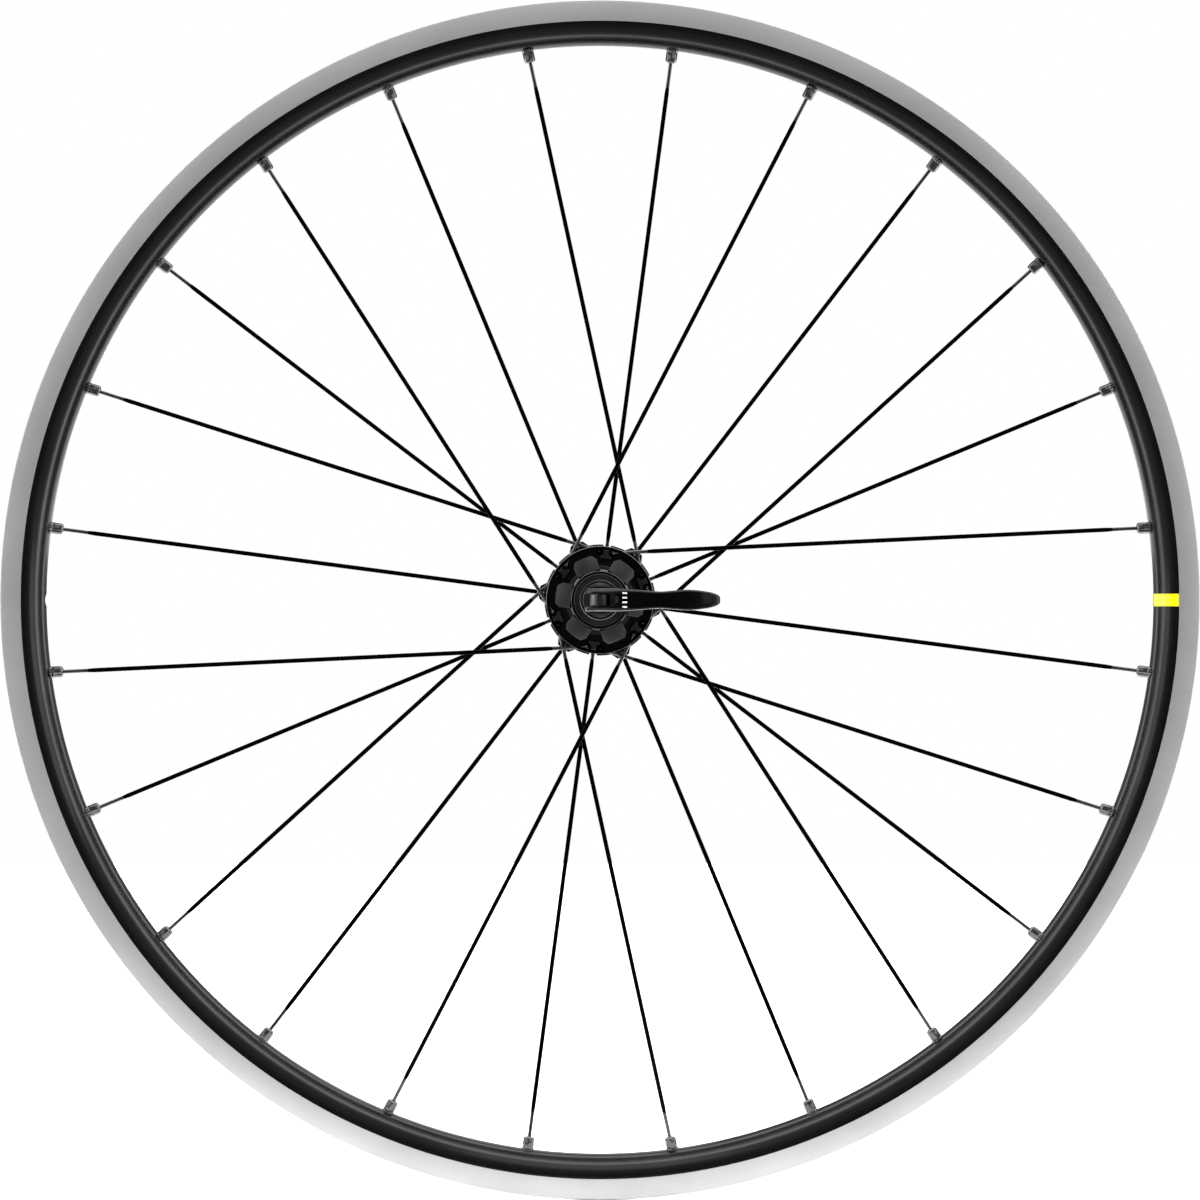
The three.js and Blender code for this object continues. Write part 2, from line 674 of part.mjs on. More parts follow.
function adjustingNut() {
  const start = CLAMP_FACE + 1.7;
  const body = ring([
    [ROD_RADIUS + MOVING_GAP, start],
    [9.8, start],
    [10, start + 2.4],
    [8, start + 5],
    [8, start + 7.6],
    [7, start + 9.6],
    [4.9, start + 9.6],
    [4.9, start + 7],
    [ROD_RADIUS + MOVING_GAP, start + 7],
  ], 24);
  const grips = angles(0, 60, 6).map((a) =>
    bar(polar(a, 10.4, start + 3.4), polar(a, 10.4, start + 12), 3, 6));
  return cut(solid(body), grips);
}

const nutWasher = () => tube(6.4, 9.9, CLAMP_FACE, CLAMP_FACE + 1.4, 24);
const lockInsert = () => tube(ROD_RADIUS + MOVING_GAP, 4.6, CLAMP_FACE + 9, CLAMP_FACE + 11, 16);

// ---- assembly --------------------------------------------------------------------------------

function assemble() {
  const group = new THREE.Group();
  const spokes = allSpokes();
  add(group, 'rim', rimBody(spokes), BLACK_ANODISED);
  addSpokes(group, spokes);
  add(group, 'hub_shell', hubShell(spokes), GREY_ANODISED);

  add(group, 'axle', axle(), BARE_ALUMINIUM);
  add(group, 'left_end_cap', leftEndCap(), BLACK_ANODISED);
  add(group, 'right_end_cap', rightEndCap(), BLACK_ANODISED);
  add(group, 'left_dust_seal', leftDustSeal(), BLACK_RUBBER);
  addBearing(group, 'left_hub_bearing', HUB_BEARING_LEFT);
  addBearing(group, 'right_hub_bearing', HUB_BEARING_RIGHT);
  addBearing(group, 'inner_freehub_bearing', FREEHUB_BEARING_INNER);
  addBearing(group, 'outer_freehub_bearing', FREEHUB_BEARING_OUTER);
  add(group, 'ratchet_spacer', bearingSpacer(HUB_BEARING_RIGHT, FREEHUB_BEARING_INNER), BARE_ALUMINIUM);
  add(group, 'freehub_spacer', bearingSpacer(FREEHUB_BEARING_INNER, FREEHUB_BEARING_OUTER), BARE_ALUMINIUM);

  add(group, 'hub_ratchet_ring', hubRatchetRing(), BRIGHT_STEEL);
  add(group, 'sliding_ratchet_ring', slidingRatchetRing(), BRIGHT_STEEL);
  add(group, 'ratchet_spring', spring([12, 12.6], [RING_ROOT + 4.3, 29.2]), BRIGHT_STEEL);
  add(group, 'freehub_body', freehubBody(), BARE_ALUMINIUM);
  add(group, 'freehub_seal', freehubSeal(), BLACK_RUBBER);

  add(group, 'skewer_rod', skewerRod(), BRIGHT_STEEL);
  add(group, 'skewer_lever', lever(), BLACK_ANODISED);
  add(group, 'lever_pin', pinBar(LEVER_WIDTH / 2 - 0.2, PIN_RADIUS), BRIGHT_STEEL);
  add(group, 'cam_cup', camCup(), GREY_ANODISED);
  add(group, 'cam_saddle', camSaddle(), BLACK_NYLON);
  add(group, 'left_cone_spring', spring([7, 3.8], [-CLAMP_FACE - 1.8, -CLAMP_FACE + 0.7]), BRIGHT_STEEL);
  add(group, 'right_cone_spring', spring([3.8, 5.6], [CLAMP_FACE - 0.7, CLAMP_FACE + 0.9]), BRIGHT_STEEL);
  add(group, 'adjusting_nut', adjustingNut(), GREY_ANODISED);
  add(group, 'nut_washer', nutWasher(), BRIGHT_STEEL);
  add(group, 'nut_lock_insert', lockInsert(), BLACK_NYLON);
  return group;
}

const group = assemble();

export default group;
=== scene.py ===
"""A rear road bicycle wheel with its quick-release skewer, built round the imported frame.

Metres, +Z up. The axle lies along Y, the lever side faces -Y and the freehub side faces +Y.
"""

import math

import bmesh
import bpy
from mathutils import Matrix, Vector


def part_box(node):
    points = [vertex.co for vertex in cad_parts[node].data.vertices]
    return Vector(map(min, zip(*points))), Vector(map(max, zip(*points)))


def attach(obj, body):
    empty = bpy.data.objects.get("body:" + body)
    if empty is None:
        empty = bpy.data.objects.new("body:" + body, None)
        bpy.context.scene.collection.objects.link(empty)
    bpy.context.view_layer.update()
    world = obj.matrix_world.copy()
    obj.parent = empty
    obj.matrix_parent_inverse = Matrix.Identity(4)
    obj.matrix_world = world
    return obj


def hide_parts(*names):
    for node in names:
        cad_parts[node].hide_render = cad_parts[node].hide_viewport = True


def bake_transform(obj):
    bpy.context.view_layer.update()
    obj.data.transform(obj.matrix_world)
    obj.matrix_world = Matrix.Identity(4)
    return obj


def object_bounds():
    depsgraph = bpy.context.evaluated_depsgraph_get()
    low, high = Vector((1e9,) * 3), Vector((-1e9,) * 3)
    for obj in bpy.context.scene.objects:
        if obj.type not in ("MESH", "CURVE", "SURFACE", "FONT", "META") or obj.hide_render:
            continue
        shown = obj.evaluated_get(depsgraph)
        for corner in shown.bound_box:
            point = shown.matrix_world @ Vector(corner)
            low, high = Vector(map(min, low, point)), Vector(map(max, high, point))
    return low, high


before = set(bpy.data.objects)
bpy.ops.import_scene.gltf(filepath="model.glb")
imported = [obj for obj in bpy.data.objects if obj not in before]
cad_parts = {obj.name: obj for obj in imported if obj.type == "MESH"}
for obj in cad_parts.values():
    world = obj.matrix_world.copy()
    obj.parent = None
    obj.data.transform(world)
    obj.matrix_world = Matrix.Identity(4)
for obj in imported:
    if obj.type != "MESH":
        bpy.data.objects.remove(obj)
CAD_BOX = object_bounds()

MM = 0.001
UP = Vector((0, 1, 0))


# ---- places and sizes taken from the frame ------------------------------------------------------

def node_size(node):
    low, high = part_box(node)
    return high - low


def reach(node):
    """A round node's radius about the axle."""
    low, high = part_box(node)
    return max(high.x, high.z, -low.x, -low.z)


def span_y(node):
    low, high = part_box(node)
    return low.y, high.y


def polar(angle, radius, y=0.0):
    """A point at an angle from +X towards +Z, in degrees, round the axle."""
    return Vector((radius * math.cos(math.radians(angle)), y, radius * math.sin(math.radians(angle))))


RIM_OUT = reach("rim")
RIM_IN = RIM_OUT - 24.1 * MM
RIM_HALF = span_y("rim")[1]
TRACK_IN = RIM_OUT - 10.9 * MM
PIVOT_Y = sum(span_y("lever_pin")) / 2
BAND_WIDTH = 6.4 * MM
SPOKE_STEP = 30
RADIAL_FIRST = 22.5
CROSSED_FIRST = 7.5
STATION_ANGLE = 22.5
PAD_ANGLE = 52.5
GROUPS = range(6)


# ---- materials ----------------------------------------------------------------------------------

def linear(hex_colour, alpha=1.0):
    """An sRGB hex colour as linear values for a shader."""
    channels = [int(hex_colour[i:i + 2], 16) / 255 for i in (1, 3, 5)]
    curve = [c / 12.92 if c <= 0.04045 else ((c + 0.055) / 1.055) ** 2.4 for c in channels]
    return (*curve, alpha)


def node(tree, kind, links=None, **settings):
    """Adds a node, sets its properties and sockets, and links its inputs to other nodes' outputs."""
    made = tree.nodes.new(kind)
    for key, value in settings.items():
        if hasattr(made, key):
            setattr(made, key, value)
        else:
            made.inputs[key.replace("_", " ")].default_value = value
    for socket, source in (links or {}).items():
        tree.links.new(source, made.inputs[socket])
    return made


def shader(name, **sockets):
    """A new material with its Principled shader, its tree and its object coordinates."""
    material = bpy.data.materials.new(name)
    material.use_nodes = True
    tree = material.node_tree
    surface = tree.nodes["Principled BSDF"]
    for socket, value in sockets.items():
        surface.inputs[socket.replace("_", " ")].default_value = value
    place = node(tree, "ShaderNodeTexCoord").outputs["Object"]
    return material, tree, surface, place


def mottle(tree, place, scale_mm, detail=4.0):
    """Even noise whose lumps are about scale_mm across."""
    return node(
        tree, "ShaderNodeTexNoise", {"Vector": place}, Scale=1 / (scale_mm * MM), Detail=detail,
    ).outputs["Fac"]


def spread(tree, value, low, high):
    """Maps 0..1 onto low..high."""
    return node(tree, "ShaderNodeMapRange", {"Value": value}, To_Min=low, To_Max=high).outputs["Result"]


def blend_colours(tree, value, first, second):
    """A colour ramp between two sRGB colours."""
    ramp = node(tree, "ShaderNodeValToRGB", {"Fac": value})
    ramp.color_ramp.elements[0].color = linear(first)
    ramp.color_ramp.elements[1].color = linear(second)
    ramp.color_ramp.elements[0].position = 0.3
    ramp.color_ramp.elements[1].position = 0.7
    return ramp.outputs["Color"]


def bump(tree, surface, height, distance_mm, strength=0.4):
    """Adds relief of a real depth to a surface."""
    relief = node(tree, "ShaderNodeBump", {"Height": height}, Strength=strength, Distance=distance_mm * MM)
    tree.links.new(relief.outputs["Normal"], surface.inputs["Normal"])


def turning_marks(tree, place, pitch_mm):
    """Rings round the axle, as a lathe leaves them: bands on the distance from the axle."""
    apart = node(tree, "ShaderNodeSeparateXYZ", {"Vector": place})
    flat = node(tree, "ShaderNodeCombineXYZ", {"X": apart.outputs["X"], "Y": apart.outputs["Z"]})
    distance = node(tree, "ShaderNodeVectorMath", {0: flat.outputs["Vector"]}, operation="LENGTH")
    along = node(tree, "ShaderNodeMath", {0: apart.outputs["Y"]}, operation="MULTIPLY")
    along.inputs[1].default_value = 0.7
    total = node(
        tree, "ShaderNodeMath", {0: distance.outputs["Value"], 1: along.outputs["Value"]}, operation="ADD",
    )
    return node(
        tree, "ShaderNodeTexNoise", {"W": total.outputs["Value"]},
        noise_dimensions="1D", Scale=1 / (pitch_mm * MM), Detail=2.0,
    ).outputs["Fac"]


def metal(name, dark, light, roughness, grain_mm, marks_mm=None, metallic=1.0, **sockets):
    """A metal whose tone, gloss and relief vary a little, with lathe marks where it was turned."""
    material, tree, surface, place = shader(name, Metallic=metallic, **sockets)
    cloud = mottle(tree, place, grain_mm)
    tree.links.new(blend_colours(tree, cloud, dark, light), surface.inputs["Base Color"])
    low, high = roughness
    if marks_mm:
        marks = turning_marks(tree, place, marks_mm)
        tree.links.new(spread(tree, marks, low, high), surface.inputs["Roughness"])
        bump(tree, surface, marks, 0.02, 0.25)
    else:
        fine = mottle(tree, place, grain_mm / 6)
        tree.links.new(spread(tree, fine, low, high), surface.inputs["Roughness"])
        bump(tree, surface, fine, 0.01, 0.2)
    return material


def polymer(name, dark, light, roughness, grain_mm, depth_mm, **sockets):
    """A moulded plastic or rubber with a fine matt skin."""
    material, tree, surface, place = shader(name, **sockets)
    cloud = mottle(tree, place, grain_mm * 8)
    tree.links.new(blend_colours(tree, cloud, dark, light), surface.inputs["Base Color"])
    grain = mottle(tree, place, grain_mm)
    tree.links.new(spread(tree, grain, *roughness), surface.inputs["Roughness"])
    bump(tree, surface, grain, depth_mm)
    return material


# Black anodised 6000-series extrusion: deep black with a satin sheen and faint draw lines.
RIM_BLACK = metal("satin_black_anodised_rim", "#303031", "#353536", (0.12, 0.17), 40, 1.2, metallic=0.96)
# Bare machined brake track: pale grey aluminium with fine rings from the cutting tool.
BRAKE_TRACK = metal("machined_aluminium_brake_track", "#B0B0B0", "#B8B8B8", (0.5, 0.58), 40, 0.9)
# Black oxide over drawn stainless steel: a smooth, slightly glossy blade.
SPOKE_BLACK = metal("black_coated_steel_spoke", "#040404", "#060606", (0.26, 0.30), 40, metallic=0.96)
# Gloss black anodised nipples with crisp flutes.
NIPPLE_BLACK = metal("gloss_black_anodised_nipple", "#4C4C4D", "#565657", (0.07, 0.12), 10, metallic=0.98)
# Lighter steel on the round ends of a spoke: a painted highlight on the round wire.
SPOKE_END_HIGHLIGHT = metal("painted_highlight_spoke_end", "#3E3F40", "#484949", (0.18, 0.22), 30)
# Black anodised hub shell, turned and then bead blasted.
HUB_BLACK = metal("black_anodised_hub_shell", "#121213", "#181818", (0.3, 0.38), 12, 0.5, metallic=0.95)
# The pads are faced after anodising, so they show grey with long tool strokes.
HUB_FACET = metal("faced_grey_hub_facet", "#3B3B3C", "#464647", (0.3, 0.4), 12, 0.6)
# Thin lighter rings on the chamfered edges: a painted highlight.
HUB_EDGE_HIGHLIGHT = metal("painted_highlight_hub_edge", "#323334", "#3E3F40", (0.24, 0.36), 3, 0.3)
# Turned and black anodised end caps.
CAP_BLACK = metal("turned_black_end_cap", "#080808", "#0C0C0C", (0.24, 0.30), 8, 0.4, metallic=0.92)
# Forged lever, gloss black.
LEVER_BLACK = metal("gloss_black_forged_lever", "#0E0E0F", "#121213", (0.15, 0.2), 30, metallic=0.85)
# Turned grey-anodised skewer fittings.
SKEWER_GREY = metal("turned_grey_skewer_fitting", "#333437", "#3E4043", (0.24, 0.34), 4, 0.35)
# Black oxide on the skewer's rod and cross barrel, worn satin.
BARREL_DARK = metal("black_oxide_steel", "#363637", "#464648", (0.3, 0.45), 2, 0.6)
# Zinc plated steel of springs, pin and washer.
STEEL = metal("plated_steel", "#5E6062", "#727476", (0.22, 0.38), 3, 0.5)
# Hard ground steel of races, balls and ratchet rings.
BEARING_STEEL = metal("ground_bearing_steel", "#6A6C6E", "#7C7E80", (0.12, 0.24), 2, 0.3)
# Bare turned aluminium of the axle and its spacers.
BARE_ALUMINIUM = metal("bare_turned_aluminium", "#6A6C6E", "#7E8082", (0.3, 0.45), 5, 0.4)
# Milled, clear-anodised freehub body.
FREEHUB_METAL = metal("milled_clear_anodised_aluminium", "#5E6063", "#6E7073", (0.28, 0.42), 4, 0.6)
# Moulded nylon with a fine spark-eroded grain.
NYLON = polymer("moulded_black_nylon", "#0D0D0E", "#141416", (0.34, 0.46), 0.25, 0.02)
# Moulded seal rubber, dull and slightly dusty.
RUBBER = polymer("moulded_seal_rubber", "#0B0B0B", "#111111", (0.55, 0.7), 0.3, 0.03, Specular_IOR_Level=0.25)
# Yellow vinyl film and white pad print.
YELLOW_FILM = polymer("yellow_vinyl_film", "#F2EA00", "#F8F200", (0.3, 0.4), 0.4, 0.005)
WHITE_PRINT = polymer("white_pad_print", "#E4E4E2", "#F2F2F0", (0.4, 0.55), 0.3, 0.005)


# ---- mesh tools ---------------------------------------------------------------------------------

def finish_mesh(name, bm, materials, body, stands_for=(), sharp=32, faces_to=None):
    """Turns a bmesh into a smooth-shaded piece that rides on a body; faces_to picks each face's material."""
    bmesh.ops.remove_doubles(bm, verts=bm.verts, dist=1e-7)
    bmesh.ops.recalc_face_normals(bm, faces=bm.faces)
    for face in bm.faces:
        face.smooth = True
        if faces_to:
            face.material_index = faces_to(face)
    mesh = bpy.data.meshes.new(name)
    bm.to_mesh(mesh)
    bm.free()
    mesh.set_sharp_from_angle(angle=math.radians(sharp))
    for material in materials:
        mesh.materials.append(material)
    piece = bpy.data.objects.new(name, mesh)
    bpy.context.scene.collection.objects.link(piece)
    if body:
        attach(piece, body)
    if stands_for:
        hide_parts(*stands_for)
    return piece


def outline_ring(bm, outline, closed=True):
    """Adds a profile of (radius, y) points in millimetres as edges, on the +X side of the axle."""
    verts = [bm.verts.new((r * MM, y * MM, 0)) for r, y in outline]
    pairs = list(zip(verts, verts[1:]))
    if closed:
        pairs.append((verts[-1], verts[0]))
    return verts + [bm.edges.new(pair) for pair in pairs]


def turned(outline, steps=96, closed=True, angle=360.0, centre=(0, 0, 0), axis=UP):
    """A profile turned about the axle, as a lathe makes it."""
    bm = bmesh.new()
    geom = outline_ring(bm, outline, closed)
    bmesh.ops.spin(
        bm, geom=geom, cent=centre, axis=axis, angle=math.radians(angle), steps=steps,
        use_merge=angle == 360.0, use_duplicate=False,
    )
    bmesh.ops.remove_doubles(bm, verts=bm.verts, dist=1e-7)
    bmesh.ops.recalc_face_normals(bm, faces=bm.faces)
    return bm


def round_edges(bm, width_mm, over=30, segments=2, edges=None):
    """Bevels every edge that turns by more than an angle in degrees."""
    limit = math.radians(over)
    chosen = edges or [e for e in bm.edges if len(e.link_faces) == 2 and e.calc_face_angle(0) > limit]
    bmesh.ops.bevel(
        bm, geom=chosen, offset=width_mm * MM, offset_type="OFFSET", segments=segments,
        profile=0.5, affect="EDGES", clamp_overlap=True, material=-1,
    )
    return bm


def prism(outline, low_y, high_y):
    """A flat outline of (x, z) points in millimetres made solid between two places on Y."""
    bm = bmesh.new()
    face = bm.faces.new([bm.verts.new((x * MM, low_y * MM, z * MM)) for x, z in outline])
    grown = bmesh.ops.extrude_face_region(bm, geom=[face])["geom"]
    moved = [v for v in grown if isinstance(v, bmesh.types.BMVert)]
    bmesh.ops.translate(bm, verts=moved, vec=(0, (high_y - low_y) * MM, 0))
    bmesh.ops.recalc_face_normals(bm, faces=bm.faces)
    return bm


def polar_prism(outline, low_y, high_y):
    """The same for (radius, angle) points."""
    flat = [(r * math.cos(math.radians(a)), r * math.sin(math.radians(a))) for r, a in outline]
    return prism(flat, low_y, high_y)


def skin(rings):
    """Closed rings of points, each extruded from the one before, with both ends capped."""
    bm = bmesh.new()
    ring = bmesh.ops.create_circle(bm, cap_ends=True, radius=1.0, segments=len(rings[0]))["verts"]
    for number, points in enumerate(rings):
        if number:
            here = set(ring)
            edges = [e for e in {e for v in ring for e in v.link_edges} if here.issuperset(e.verts)]
            grown = bmesh.ops.extrude_edge_only(bm, edges=edges)["geom"]
            order = {tuple(v.co): v for v in grown if isinstance(v, bmesh.types.BMVert)}
            ring = [order[tuple(v.co)] for v in ring]
        for v, point in zip(ring, points):
            v.co = point
    bmesh.ops.contextual_create(bm, geom=ring)
    bmesh.ops.recalc_face_normals(bm, faces=bm.faces)
    return bm


def circle_points(sides):
    """Points of a unit circle in X and Z."""
    return [Vector((math.cos(2 * math.pi * k / sides), 0, math.sin(2 * math.pi * k / sides))) for k in range(sides)]


def loft(sections, sides=16, shape=None):
    """Rings stacked along +Y, in millimetres. A section is its place, its half width along X, its half
    depth along Z and how round it is: 1 for an ellipse, less for flatter sides."""
    unit = [shape(co) if shape else co for co in circle_points(sides)]
    rings = []
    for place, wide, deep, *roundness in sections:
        power = roundness[0] if roundness else 1
        rings.append([
            Vector((soften(co.x, power) * wide, place, soften(co.z, power) * deep)) * MM for co in unit
        ])
    return skin(rings)


def soften(value, power):
    return math.copysign(abs(value) ** power, value)


def rod(start, end, radius_mm, sides=24):
    """A plain round bar between two points, used to cut holes."""
    bm = bmesh.new()
    along = end - start
    turn = along.to_track_quat("Z", "Y").to_matrix().to_4x4()
    place = Matrix.Translation((start + end) / 2) @ turn
    bmesh.ops.create_cone(
        bm, cap_ends=True, segments=sides, radius1=radius_mm * MM, radius2=radius_mm * MM,
        depth=along.length, matrix=place,
    )
    return bm


def temporary(bm, name="tool"):
    mesh = bpy.data.meshes.new(name)
    bm.to_mesh(mesh)
    bm.free()
    made = bpy.data.objects.new(name, mesh)
    bpy.context.scene.collection.objects.link(made)
    return made


def combine(body, tools, operation):
    """Cuts tools out of a bmesh, or joins them to it, and gives the new bmesh."""
    target = temporary(body, "target")
    whole = bmesh.new()
    for tool in tools:
        mesh = bpy.data.meshes.new("part")
        tool.to_mesh(mesh)
        tool.free()
        whole.from_mesh(mesh)
        bpy.data.meshes.remove(mesh)
    cutter = temporary(whole)
    change = target.modifiers.new("change", "BOOLEAN")
    change.operation = operation
    change.solver = "EXACT"
    change.use_self = True
    change.object = cutter
    depsgraph = bpy.context.evaluated_depsgraph_get()
    result = bpy.data.meshes.new_from_object(target.evaluated_get(depsgraph))
    bm = bmesh.new()
    bm.from_mesh(result)
    for used in (target, cutter):
        mesh = used.data
        bpy.data.objects.remove(used)
        bpy.data.meshes.remove(mesh)
    bpy.data.meshes.remove(result)
    return bm


def transformed(bm, matrix):
    bmesh.ops.transform(bm, matrix=matrix, verts=bm.verts)
    return bm


def turned_copies(make, angles):
    """One bmesh holding a copy of a piece at each angle round the axle."""
    whole = bmesh.new()
    for angle in angles:
        part = make()
        transformed(part, Matrix.Rotation(math.radians(-angle), 4, "Y"))
        mesh = bpy.data.meshes.new("copy")
        part.to_mesh(mesh)
        part.free()
        whole.from_mesh(mesh)
        bpy.data.meshes.remove(mesh)
    return whole


# ---- rim ----------------------------------------------------------------------------------------

def rim_outline():
    """Half of the rim's section, from the middle of its inner side round to the tyre well."""
    out = RIM_OUT / MM
    wide = RIM_HALF / MM
    half = [(out - 24.1, 0)]
    for step in range(1, 15):
        angle = math.radians(90 * step / 14)
        half.append((out - 24.1 + 12.4 * (1 - math.cos(angle)) ** 0.75, wide * math.sin(angle) ** 0.86 - 0.12))
    half += [
        (out - 11.0, wide - 0.12),
        (out - 10.9, wide),
        (out - 0.6, wide),
        (out - 0.2, wide - 0.15),
        (out, wide - 0.6),
        (out, 8.7),
        (out - 0.3, 8.1),
        (out - 1.1, 7.9),
        (out - 1.8, 8.1),
        (out - 2.6, 8.5),
        (out - 5.4, 8.5),
        (out - 6.0, 8.1),
        (out - 6.2, 7.0),
        (out - 6.5, 6.2),
        (out - 8.0, 5.0),
        (out - 8.4, 4.2),
        (out - 8.5, 0),
    ]
    return half


def rim_face(face):
    """The flanges are machined bare on their sides and round their lips; the rest stays black."""
    centre = face.calc_center_median()
    radius = math.hypot(centre.x, centre.z)
    return 1 if abs(centre.y) > 8.6 * MM and radius > TRACK_IN + 0.04 * MM else 0


def build_rim():
    half = rim_outline()
    outline = half + [(r, -y) for r, y in reversed(half[1:-1])]
    body = turned(outline, steps=288)
    valve = rod(polar(180, 285 * MM), polar(180, RIM_OUT - 8.9 * MM), 3.25)
    valve_mouth = rod(polar(180, RIM_OUT - 14 * MM), polar(180, RIM_OUT + 1 * MM), 4.2)
    body = combine(body, [valve, valve_mouth], "DIFFERENCE")
    finish_mesh(
        "rim", body, [RIM_BLACK, BRAKE_TRACK], "wheel", ["rim"], sharp=24, faces_to=rim_face,
    )


def build_rim_band():
    """A yellow film wrapped over the black section at +X."""
    half = [(r, y + 0.05) for r, y in rim_outline()[:16]]
    outline = [(r - 0.05, -y) for r, y in reversed(half[1:])] + [(r - 0.05, y) for r, y in half[1:]]
    wide = math.degrees(BAND_WIDTH / RIM_IN)
    bm = turned(outline, steps=8, closed=False, angle=wide)
    transformed(bm, Matrix.Rotation(math.radians(-wide / 2), 4, "Y"))
    finish_mesh("rim_band", bm, [YELLOW_FILM], "wheel", sharp=60)


# ---- spokes and nipples -------------------------------------------------------------------------

SPOKE_ROUND = 0.95
BLADE_WIDE = 1.15
BLADE_DEEP = 0.475
BLADE_TAPER = 3.2


def spoke_mesh(length, blade_from, blade_to):
    """A straight-pull spoke along +Y: head, round neck, flat blade and round end, in millimetres."""
    sections = [
        (-1.4, 0.9, 0.9, 1),
        (-1.3, 1.35, 1.35, 1),
        (-1.0, 1.6, 1.6, 1),
        (-0.35, 1.6, 1.6, 1),
        (-0.1, 1.3, 1.3, 1),
        (0.3, SPOKE_ROUND, SPOKE_ROUND, 1),
        (blade_from - 6.5, SPOKE_ROUND, SPOKE_ROUND, 1),
        (blade_from - BLADE_TAPER, 0.98, 0.8, 0.85),
        (blade_from - 1.2, 1.08, 0.55, 0.65),
        (blade_from, BLADE_WIDE, BLADE_DEEP, 0.5),
        (blade_to, BLADE_WIDE, BLADE_DEEP, 0.5),
        (blade_to + 1.2, 1.08, 0.55, 0.65),
        (blade_to + BLADE_TAPER, 0.98, 0.8, 0.85),
        (blade_to + 6.5, SPOKE_ROUND, SPOKE_ROUND, 1),
        (length, SPOKE_ROUND, SPOKE_ROUND, 1),
    ]
    return loft(sections, sides=24)


def fluted(co):
    """A nipple's section: eight shallow flutes."""
    angle = math.atan2(co.z, co.x)
    return co * (1 - 0.085 * (0.5 - 0.5 * math.cos(8 * angle)) ** 0.6)


def nipple_mesh():
    """A threaded nipple along +Y, from its rounded mouth out into the rim."""
    sections = [(0, 1.25, 1.25), (0.12, 1.9, 1.9), (0.4, 2.45, 2.45), (0.9, 2.82, 2.82), (1.5, 2.98, 2.98),
                (5.6, 3.05, 3.05), (5.9, 2.9, 2.9), (6.2, 3.15, 3.15), (9.5, 3.15, 3.15)]
    return loft(sections, sides=48, shape=fluted)


def spoke_line(kind, number):
    """Head and nipple-seat points of a spoke, from the way the wheel is laced."""
    if kind == "radial":
        angle = RADIAL_FIRST + SPOKE_STEP * number
        head_radius = 30.2 * MM if number % 2 else 27.2 * MM
        return polar(angle, head_radius, 17.2 * MM), polar(angle, RIM_IN), 33 - head_radius / MM + 2
    angle = CROSSED_FIRST + SPOKE_STEP * number
    turn = -1 if number % 2 else 1
    offset = 24.3 * MM
    foot_angle = angle + turn * math.degrees(math.acos(offset / RIM_IN))
    foot = polar(foot_angle, offset)
    towards_rim = polar(foot_angle - turn * 90, 1)
    head = foot + towards_rim * 8.5 * MM
    head.y = -37.1 * MM if turn > 0 else -34.4 * MM
    seat = foot + towards_rim * math.sqrt(RIM_IN ** 2 - offset ** 2)
    return head, seat, 21


def along_line(start, direction):
    """Turns +Y onto a spoke's line with the blade's width in the wheel's plane."""
    across = direction.cross(UP).normalized()
    through = across.cross(direction)
    turn = Matrix((across, direction, through)).transposed().to_4x4()
    return Matrix.Translation(start) @ turn


def build_spokes():
    for kind in ("radial", "crossed"):
        for number in range(12):
            head, seat, blade_from = spoke_line(kind, number)
            direction = (seat - head).normalized()
            length = (seat - head).length / MM
            blade_to = length - 22.9
            bm = spoke_mesh(length - 5, blade_from, blade_to)
            # The round ends take the lighter steel, a painted highlight; the blade between them stays black.
            low, high = (blade_from - BLADE_TAPER) * MM, (blade_to + BLADE_TAPER) * MM
            for face in bm.faces:
                face.material_index = 0 if low < face.calc_center_median().y < high else 1
            transformed(bm, along_line(head, direction))
            node_name = f"{kind}_spoke_{number + 1}"
            finish_mesh(
                f"{kind}_blade_{number + 1}", bm, [SPOKE_BLACK, SPOKE_END_HIGHLIGHT], "wheel",
                [node_name], sharp=50,
            )
            nipple = transformed(nipple_mesh(), along_line(seat - direction * 6.5 * MM, direction))
            finish_mesh(f"{kind}_nipple_{number + 1}", nipple, [NIPPLE_BLACK], "wheel", sharp=40)


# ---- hub shell ----------------------------------------------------------------------------------

HUB_STEPS = 192


def shell_blank():
    """The turned body of the hub, from the lever-side mouth to the ratchet seat."""
    return turned([
        (14.3, -42.8), (14.5, -43), (15.0, -43), (15.2, -42.8), (15.5, -40.4), (16.0, -40.0),
        (17.5, -39.9), (17.9, -39.5), (18.1, -38.8), (18.8, -38.5),
        (26.6, -38.1), (27.2, -38.3), (27.4, -38.9), (27.5, -39.2), (27.7, -39.4), (28.1, -39.4), (28.4, -39.1),
        (28.4, -31.5), (28.1, -31), (27, -30.8), (20.5, -30), (18.2, -28.9), (16.3, -27.4), (14.8, -25.6),
        (13.7, -23), (13.1, -20.4), (13, -18), (13, 3), (13.3, 6), (14.4, 9), (16.2, 11.4), (18.5, 12.9),
        (21.5, 13.7), (24.5, 14.1), (28.9, 14.2), (29.5, 14.8), (29.5, 19.6), (28.9, 20.2), (20.6, 20.2),
        (19.8, 20.5), (19.6, 21.2), (19.3, 21.5), (17.5, 21.5), (17.3, 21.3), (17.3, 14.6), (12.15, 14.6),
        (12.15, 8), (10, 8), (10, -34), (12.15, -34), (12.15, -40.6), (14.3, -40.6),
    ], steps=HUB_STEPS)


